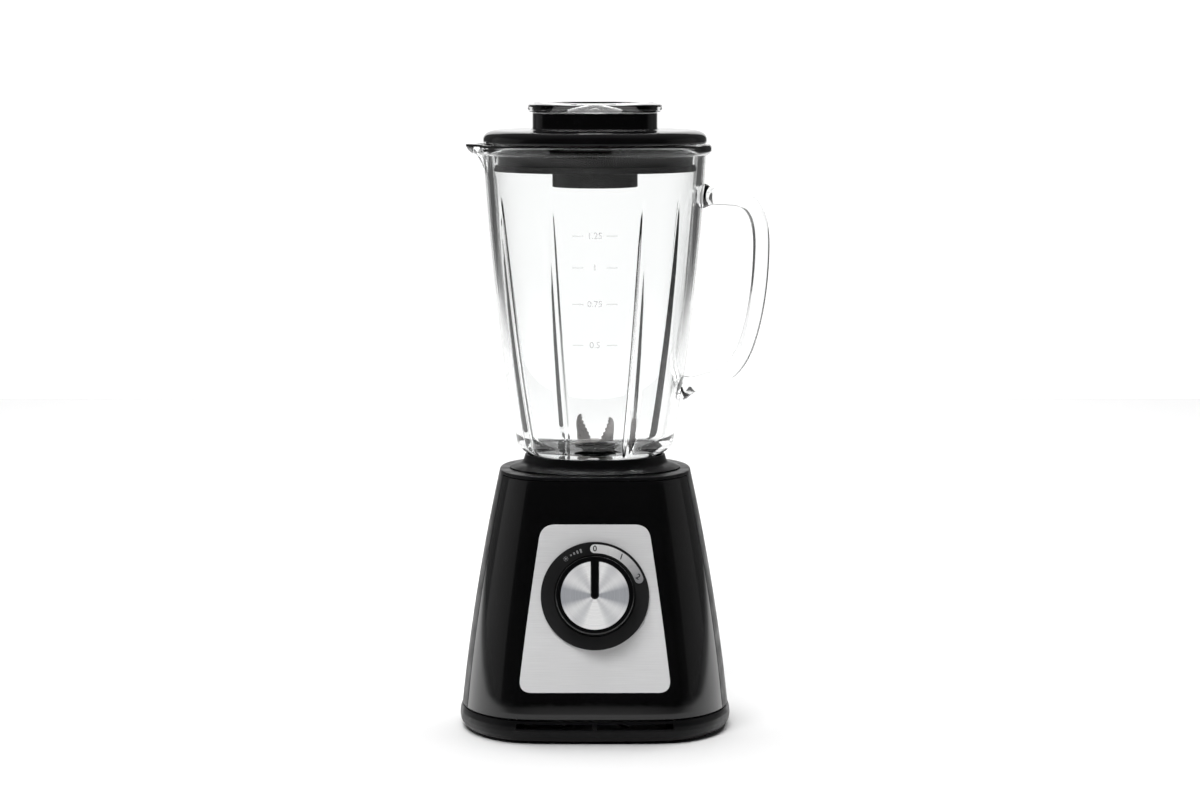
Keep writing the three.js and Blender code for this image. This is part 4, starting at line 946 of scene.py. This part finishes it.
def pulse_mark():
    """A plain sun-like mark and a short row of pips for the pulse position."""
    rays = 8
    face = BEZEL_FACE + 0.02
    centre = clockwise(DIGIT_RADIUS, PULSE_ANGLE, face)
    pieces = []
    for k in range(rays):
        ray = raised_bar("ray", (0.9, -0.16), (1.7, 0.16), 0.1)
        spin(ray, 2 * pi * k / rays)
        shift(ray, *centre)
        pieces.append(ray)
    hub = turned("hub", [(0, -0.1), (0.55, -0.1), (0.55, 0.03), (0, 0.03)], 24)
    shift(hub, *centre)
    pieces.append(hub)
    for k in range(4):
        length = 0.55 + 0.25 * k
        degrees = PIP_ANGLE + PIP_PITCH * k
        pip = raised_bar("pip", (-0.55, -length), (0.55, length), 0.3)
        spin(pip, -radians(degrees))
        shift(pip, *clockwise(DIGIT_RADIUS, degrees, face))
        pieces.append(pip)
    mark = pieces.pop()
    merge(mark, pieces)
    mark.name = "pulse_mark"
    mark.matrix_world = DIAL_FRAME
    settle(mark, "dial_bezel", PRINT_GREY, replaces=False)


def pointer_outline(half_width, reach):
    points = [Vector((half_width, reach)), Vector((-half_width, reach))]
    for k in range(17):
        a = pi + pi * k / 16
        points.append(Vector((half_width * cos(a), 0.3 + half_width * sin(a))))
    return points


def speed_knob():
    top = KNOB_TOP
    seat = top - DISC_SINK
    disc_edge = DISC_RADIUS + GAP
    profile = filleted([(0, seat - 2.6), (3.4, seat - 2.6), (3.4, 3.5), (6.5, 3.5), (6.5, seat - 2),
                        (22, seat - 2), (22.6, KNOB_BASE), (KNOB_RADIUS, KNOB_BASE, 0.5),
                        (KNOB_RADIUS - 0.2, top, 1.1), (disc_edge, top - 0.1, 0.2), (disc_edge, seat),
                        (0, seat)], closed=False)
    knob = turned("speed_knob_skin", profile, 192, DIAL_FRAME)
    outline = pointer_outline(POINTER_HALF_WIDTH, KNOB_RADIUS - 1.6)
    bar = extruded("pointer", outline, seat - 0.4, top + 0.6, bevel=0.35)
    bar.matrix_world = DIAL_FRAME
    merge(knob, [bar])
    settle(knob, "speed_knob")


def knob_disc():
    back = KNOB_TOP - DISC_SINK + GAP
    front = back + 0.7
    profile = filleted([(0, back), (DISC_RADIUS, back), (DISC_RADIUS, front, 0.2), (0, front)], closed=False)
    disc = turned("knob_disc_skin", subdivided(profile, 2.5), 192, DIAL_FRAME)
    slot = extruded("slot", pointer_outline(POINTER_HALF_WIDTH + GAP, 30), 0, 30, DIAL_FRAME)
    combine(disc, [slot], "DIFFERENCE")
    settle(disc, "knob_disc")


# ---- glass jar


def jar_radius(z):
    """The jar's outer radius at a height."""
    radii, heights = zip(*WALL_CURVE)
    return on_quadratic(*radii, halving(1.0, 30, lambda t: on_quadratic(*heights, t) < z))


def rib_rise(angle, radius, z):
    """How far the jar's inner face stands in at a rib."""
    if not RIB_FOOT_Z < z < RIB_TOP_Z:
        return 0.0
    taper = sqrt((RIB_TOP_Z - z) / (RIB_TOP_Z - RIB_FOOT_Z)) * smooth_step(RIB_FOOT_Z, 186, z)
    quarter = pi / 2
    off = (angle - FIRST_RIB + quarter / 2) % quarter - quarter / 2
    across = abs(off) * radius / (RIB_HALF_WIDTH * 1.25 * sqrt(max(taper, 0.04)))
    return RIB_HEIGHT * taper * (1 - smooth_step(0, 1, across)) if across < 1 else 0.0


def spout_rise(angle, z):
    """How far the rim stands out at the pouring lip, on the -X side."""
    off = abs((angle - pi + pi) % (2 * pi) - pi)
    half = between(0.12, 0.26, smooth_step(SPOUT_START_Z, JAR_RIM_Z, z))
    lift = max(0.0, (z - SPOUT_START_Z) / (JAR_RIM_Z - SPOUT_START_Z)) ** 1.5
    return SPOUT_REACH * lift * (1 - smooth_step(0.0, 1.0, off / half)) if off < half else 0.0


def jar_profile():
    """The jar's closed section as (radius, height, is_inner)."""
    foot = filleted([(9.3, 168), (27, 168, 1.5), (29, JAR_FOOT_Z, 0.8), (35.5, JAR_FOOT_Z, 1.2),
                     (37.6, 168.6, 1), (38, 173.8, 2.0), (43, 175.4)], closed=False)
    foot += quadratic((43, 175.4), (49, 177.8), WALL_CURVE[0], 8)[1:]
    wall = [Vector((jar_radius(z), z)) for z in (between(184, 365, k / 44) for k in range(45))]
    edge = JAR_RIM_RADIUS
    rim = quadratic((71.7, 366.4), (edge, 366.8), (edge, 369.8), 8)
    rim += quadratic((edge, 369.8), (edge, JAR_RIM_Z), (72.4, JAR_RIM_Z), 8)[1:]
    rim += quadratic((70.5, JAR_RIM_Z), (67.6, JAR_RIM_Z), (67.0, 371.0), 8)
    inside = [Vector((jar_radius(z) - JAR_WALL, z)) for z in (between(366, 189, k / 44) for k in range(45))]
    bowl = quadratic((jar_radius(188) - JAR_WALL, 188), (42.4, 177.6), (32, 175.2), 12)
    bowl += quadratic((32, 175.2), (20, JAR_FLOOR_Z), (9.3, JAR_FLOOR_Z), 8)[1:]
    outer = [(p.x, p.y, False) for p in foot + wall + rim]
    return outer + [(p.x, p.y, True) for p in inside + bowl]


def jar_vessel():
    """The glass without its handle: ribs inside, and the rim drawn out into a spout."""
    count = 480
    rings = []
    for radius, z, is_inner in jar_profile():
        ring = []
        for angle in turns(count):
            reach = radius + spout_rise(angle, z)
            if is_inner:
                reach -= rib_rise(angle, radius, z)
            ring.append(Vector((reach * cos(angle), reach * sin(angle), z)))
        rings.append(ring)
    return ring_solid("jar_vessel", rings)


def jar_handle():
    """A flattened bar swept from the rim down to the belly, flared where it joins the wall."""
    path = [Vector((66.8, 340.1)), Vector((72, 339.9)), Vector((78, 339.5))]
    path += cubic((88, 339), (101, 338.4), (106.4, 328), (106.4, 308), 16)
    path += quadratic((106.4, 308), (106, 272), (97.3, 246), 16)[1:]
    path += quadratic((97.3, 246), (91, 227.1), (76, 222.8), 12)[1:]
    path += [Vector((68, 220.5)), Vector((61.5, 218.7)), Vector((54.6, 216.8))]
    path = subdivided(path, 2.0)
    count = 40
    rings = []
    for k, here in enumerate(path):
        ahead = path[min(k + 1, len(path) - 1)] - path[max(k - 1, 0)]
        along = ahead.normalized()
        side = Vector((along.y, -along.x))
        from_wall = here.x - jar_radius(here.y) if here.x < 90 else 99
        flare = 1 + 0.55 * (1 - smooth_step(-1.5, 7.0, from_wall))
        ring = []
        half_width = HANDLE_HALF_WIDTH * (1 + (flare - 1) * 0.5)
        for a in turns(count):
            flat = side * (HANDLE_HALF_DEPTH * flare * cos(a))
            ring.append(Vector((here.x + flat.x, half_width * sin(a), here.y + flat.y)))
        rings.append(ring)
    return loft("jar_handle", rings)


def glass_jar():
    jar = jar_vessel()
    jar.name = "glass_jar_skin"
    combine(jar, [jar_handle()], "UNION")
    settle(jar, "glass_jar", crease=50)


def jar_marks():
    """Faint printed volume marks on the front of the jar: a dash, a number and a dash."""
    for row, (number, z) in enumerate(MARK_HEIGHTS):
        radius = jar_radius(z)
        text = lettering(f"volume_mark_{row}", number, 5.6)
        body = bmesh.new()
        body.from_mesh(text.data)
        for start, end in ((-14.3, -7.2), (7.2, 14.3)):
            steps = 8
            rows = []
            for k in range(steps + 1):
                x = between(start, end, k / steps) * MM
                rows.append([body.verts.new((x, side * 0.35 * MM, 0.0)) for side in (-1, 1)])
            for first, second in zip(rows, rows[1:]):
                body.faces.new((first[0], second[0], second[1], first[1]))
        for vert in body.verts:
            height = z + vert.co.y / MM
            reach = jar_radius(height) + 0.05 + max(0.0, vert.co.z / MM)
            angle = -pi / 2 + vert.co.x / MM / radius
            vert.co = Vector((reach * cos(angle), reach * sin(angle), height)) * MM
        body.to_mesh(text.data)
        body.free()
        settle(text, "glass_jar", PRINT_FAINT, replaces=False)


# ---- blade unit


def blade_arm(reach, half_width, bend, bend_start, teeth):
    """One stamped arm along +X: it leaves the hub flat, bends up, and narrows like a horn to a
    round tip. Its edge towards -Y is serrated."""
    steps = 90
    spine = [Vector((0.0, 0.0))]
    slope = [0.0]
    for k in range(1, steps + 1):
        s = reach * k / steps
        angle = bend * smooth_step(bend_start, bend_start + BEND_RUN, s)
        spine.append(spine[-1] + Vector((cos(angle), sin(angle))) * reach / steps)
        slope.append(angle)
    rings = []
    for k, (here, angle) in enumerate(zip(spine, slope)):
        t = k / steps
        tip = half_width * TIP_SHARE
        round_off = sqrt(max(0.0, 1 - max(0.0, (t - 0.62) / 0.38) ** 2.4))
        back = between(tip, half_width, round_off)
        front = -between(half_width * 0.9, -tip * 0.3, smooth_step(0.32, 0.95, t))
        front = between(min(front, tip - 0.2), tip, smooth_step(0.95, 1.0, t))
        if TEETH_FROM < t < TEETH_TO:
            tooth = (t - TEETH_FROM) / (TEETH_TO - TEETH_FROM) * teeth % 1.0
            front += TOOTH_DEPTH * abs(2 * tooth - 1)
        thin = between(1.0, 0.35, smooth_step(0.25, 0.4, t))
        up = Vector((-sin(angle), cos(angle)))
        half = BLADE_THICKNESS / 2
        edge = half * thin
        middle = between(back, front, 0.7)
        section = [(back, -half), (back, half), (middle, half), (front, edge), (front, -edge),
                   (middle, -half)]
        rings.append([Vector((here.x + up.x * w, y, here.y + up.y * w)) for y, w in section])
    return loft("arm", rings)


def blade(node, hub_z, turn, **shape):
    """A hub ring with two equal arms, turned about the shaft."""
    top = hub_z + BLADE_THICKNESS
    ring = filleted([(3.3, hub_z), (7.4, hub_z, 0.3), (7.4, top, 0.3), (3.3, top)])
    hub = turned(f"{node}_skin", ring, 64)
    arms = []
    for half in (0, pi):
        arm = blade_arm(**shape)
        shift(arm, BLADE_ROOT, 0, hub_z + BLADE_THICKNESS / 2)
        spin(arm, turn + half)
        arms.append(arm)
    merge(hub, arms)
    settle(hub, node)


def blade_unit():
    """The collar under the blades, the two blades, one over the other, and their cap."""
    top = BLADE_HUB_Z - GAP
    step = BLADE_THICKNESS + GAP
    housing = filleted([(4.9, 161), (8.9, 161, 0.4), (8.9, 173.5), (13.4, 173.5, 0.3), (13.4, 175.4, 0.8),
                        (8.9, 177, 0.8), (7.1, top, 0.4), (4.9, top)])
    settle(turned("blade_housing_skin", housing, 96), "blade_housing")
    cap_z = BLADE_HUB_Z + 2 * step
    dome = filleted([(0, cap_z), (4.6, cap_z, 0.2), (4.6, cap_z + 0.8, 0.6), (3, cap_z + 1.6, 1.2),
                     (0, cap_z + 1.9)], closed=False)
    settle(turned("blade_cap_skin", dome, 64), "blade_cap")
    blade("lower_blade", BLADE_HUB_Z, 0.6,
          reach=18.5, half_width=4.8, bend=-0.2, bend_start=4.0, teeth=5)
    blade("upper_blade", BLADE_HUB_Z + step, 2.16,
          reach=25.2, half_width=5.4, bend=1.42, bend_start=6.2, teeth=6)


# ---- lid and measuring cap


def lid_rows():
    """The lid's section from the tube's foot, out over the skirt, up the dome and back down the
    chimney, as (half-width, height, squareness)."""
    rest = LID_REST_Z
    under = rest + 1.5
    tube = TUBE_RADIUS
    foot = SKIRT_BOTTOM_Z
    low = filleted([(tube - 2, TUBE_BOTTOM_Z, 0.5), (tube, TUBE_BOTTOM_Z, 0.5), (tube, under, 0.8),
                    (60.4, under, 0.8), (60.4, foot, 0.5), (62.4, foot, 0.5), (62.4, 360.5)], closed=False)
    low += quadratic((62.4, 361), (62.6, 368), (64.8, rest - 1), 8)
    low += [Vector((66.4, rest)), Vector((70.2, rest))]
    low += quadratic((70.4, rest), (71.6, rest + 0.2), (71.6, rest + 2), 6)
    low += quadratic((71.6, rest + 2.2), (71.6, 381.2), (63, 382), 14)
    rows = rows_of(low, 0.0)
    outer, top = CHIMNEY_HALF_WIDTH, CHIMNEY_TOP_Z
    for t in (0.2, 0.4, 0.6, 0.75, 0.88):
        rows.append((between(63, outer + 1.4, t), between(382, 382.7, t), smooth_step(0.0, 1.0, t)))
    rows += rows_of(quadratic((outer + 1.4, 382.7), (outer, 382.9), (outer, 384.4), 6), 1.0)
    inner = outer - CHIMNEY_WALL
    wall = filleted([(outer, 384.6), (outer, top, 0.6), (inner, top, 0.6), (inner, 381)], closed=False)
    rows += rows_of(wall, 1.0)
    rows += [(34, 379.6, 0.6), (30, 379.2, 0.2), (tube - 1.4, 379, 0.0), (tube - 2, 378.4, 0.0)]
    return rows


def skirt_ramp(stop_angle):
    """A ramp sunk into the lid's skirt, deepening round it to an upright stop."""
    sweep = radians(54)
    steps = 36
    top = LID_REST_Z - 0.4
    rings = []
    for k in range(steps + 1):
        t = k / steps
        angle = stop_angle - sweep * (1 - t)
        low = top - 0.8 - 12 * t**1.3
        rings.append([Vector((r * sin(angle), -r * cos(angle), z))
                      for r, z in ((61.6, low), (68, low), (68, top), (61.6, top))])
    return loft("ramp", rings)


def lid():
    body = ring_solid("lid_skin", squircle_rings(lid_rows(), CHIMNEY_POWER))
    stop = radians(9)
    combine(body, [skirt_ramp(stop), skirt_ramp(stop + pi)], "DIFFERENCE")
    settle(body, "lid")


def lid_seal():
    low = SKIRT_BOTTOM_Z
    profile = filleted([(62.7, low), (64.7, low, 0.4), (64.7, low + 1, 0.4), (63.6, low + 3.6, 0.4),
                        (62.7, low + 3.6)])
    settle(turned("lid_seal_skin", profile, 192), "lid_seal")


def cap_rows():
    """The cap's section up the outside of its cup, round its flange and down the inside."""
    low = CHIMNEY_TOP_Z + GAP
    wide, top = CAP_HALF_WIDTH, CAP_TOP_Z
    cup = filleted([(0, 350), (22.4, 350, 1.6), (24.6, 380, 6), (32.4, 390.4, 2), (33, low, 0.8)],
                   closed=False)
    edge = quadratic((wide - 1.8, low), (wide, low + 0.2), (wide, low + 2.4), 8)
    edge += quadratic((wide, low + 2.8), (wide, top), (wide - 2.4, top), 8)
    bowl = filleted([(36.2, 396.8), (31, 392.5, 3), (22.6, 381, 6), (21.4, 352.4, 1.6), (0, 352.4)],
                    closed=False)
    under = [(35, low, 0.3), (38, low, 0.75)]
    over = [(wide - 3.4, top - 0.1, 0.85), (wide - 4.6, top - 0.7, 0.6), (37.2, top - 1.6, 0.35)]
    return rows_of(cup, 0.0) + under + rows_of(edge, 1.0) + over + rows_of(bowl, 0.0)


def measuring_cap():
    cap = solid("measuring_cap_skin", *skin(squircle_rings(cap_rows(), CAP_POWER), closed=False))
    settle(cap, "measuring_cap")


# ---- studio


def dress_cad_nodes():
    """Every CAD node gets the procedural look of its slot."""
    for node, obj in frame["nodes"].items():
        for slot in obj.material_slots:
            slot.material = LOOKS[SLOT_OF[node]]
        if not obj.material_slots:
            obj.data.materials.append(LOOKS[SLOT_OF[node]])


def stage_sheet(name, profile, half_width, material):
    """A wide sheet along X from a profile of (y, z) points, in metres."""
    mesh = bpy.data.meshes.new(name)
    points = [(side * half_width, p[0], p[1]) for p in profile for side in (-1, 1)]
    faces = [(2 * k, 2 * k + 1, 2 * k + 3, 2 * k + 2) for k in range(len(profile) - 1)]
    mesh.from_pydata(points, [], faces)
    mesh.materials.append(material)
    mesh.polygons.foreach_set("use_smooth", [True] * len(mesh.polygons))
    sheet = placed(name, mesh)


def studio_set():
    """A pale floor, and behind it a sheet lit from behind that gives the even white ground."""
    stage_sheet("floor", [(-7, 0), (FLOOR_BACK, 0)], 7.0, floor_finish())
    sweep = quadratic((FLOOR_BACK, 0.0), (BACKDROP_Y, 0.0), (BACKDROP_Y, 1.0), 12)
    stage_sheet("lit_backdrop", [*sweep, (BACKDROP_Y, 1.9)], 0.98, backdrop_finish())


def area_light(name, place, target, size, power, glossy=True):
    """A rectangular light aimed at a target. One that isn't glossy shows in no reflection."""
    data = bpy.data.lights.new(name, "AREA")
    data.shape = "RECTANGLE"
    data.size, data.size_y = size
    data.energy = power
    light = placed(name, data)
    light.location = place
    light.rotation_mode = "QUATERNION"
    light.rotation_quaternion = (Vector(target) - Vector(place)).to_track_quat("-Z", "Y")
    light.visible_glossy = glossy


def studio_world():
    """Dim light from all round, brighter from behind the blender than from in front of it."""
    world = bpy.data.worlds.new("studio")
    world.use_nodes = True
    bpy.context.scene.world = world
    tree = world.node_tree
    shade = tree.nodes["Background"]
    shade.inputs["Color"].default_value = (1, 1, 1, 1)
    direction = add_node(tree, "TexCoord").outputs["Generated"]
    depth = add_node(tree, "SeparateXYZ", direction).outputs["Y"]
    feed(tree, shade.inputs["Strength"], ramp(tree, depth, -0.45, 0.3, 0.02, 0.1, kind="SMOOTHSTEP"))


def studio_light():
    area_light("top_softbox", (0, 0.95, 2.6), target=(0, 0.8, 0), size=(3.0, 2.6), power=99, glossy=False)
    area_light("left_softbox", (-2.3, 0.65, 0.75), target=(0, 0, 0.25), size=(2.2, 1.5), power=1.6)
    area_light("right_softbox", (2.4, 0.65, 0.75), target=(0, 0, 0.25), size=(2.0, 1.5), power=0.8)
    area_light("front_fill", (-0.7, -1.9, 2.3), target=(0, 0, 0.12), size=(1.4, 0.7), power=51, glossy=False)


def camera():
    data = bpy.data.cameras.new("camera")
    data.lens = CAMERA_LENS
    data.sensor_width = 36
    data.clip_end = 50
    view = placed("camera", data)
    view.location = CAMERA_PLACE
    view.rotation_euler = (radians(90 - CAMERA_DIP), 0, 0)
    bpy.context.scene.camera = view


def render_look():
    scene = bpy.context.scene
    scene.view_settings.view_transform = "Standard"
    scene.cycles.max_bounces = LIGHT_BOUNCES
    scene.cycles.transmission_bounces = LIGHT_BOUNCES
    scene.cycles.transparent_max_bounces = LIGHT_BOUNCES


camera()
dress_cad_nodes()
base_tray()
front_panel()
rear_shell()
jar_seat()
feet()
fascia_plate()
dial_bezel()
dial_scale()
dial_numbers()
pulse_mark()
speed_knob()
knob_disc()
glass_jar()
jar_marks()
blade_unit()
lid()
lid_seal()
measuring_cap()
studio_set()
studio_world()
studio_light()
render_look()
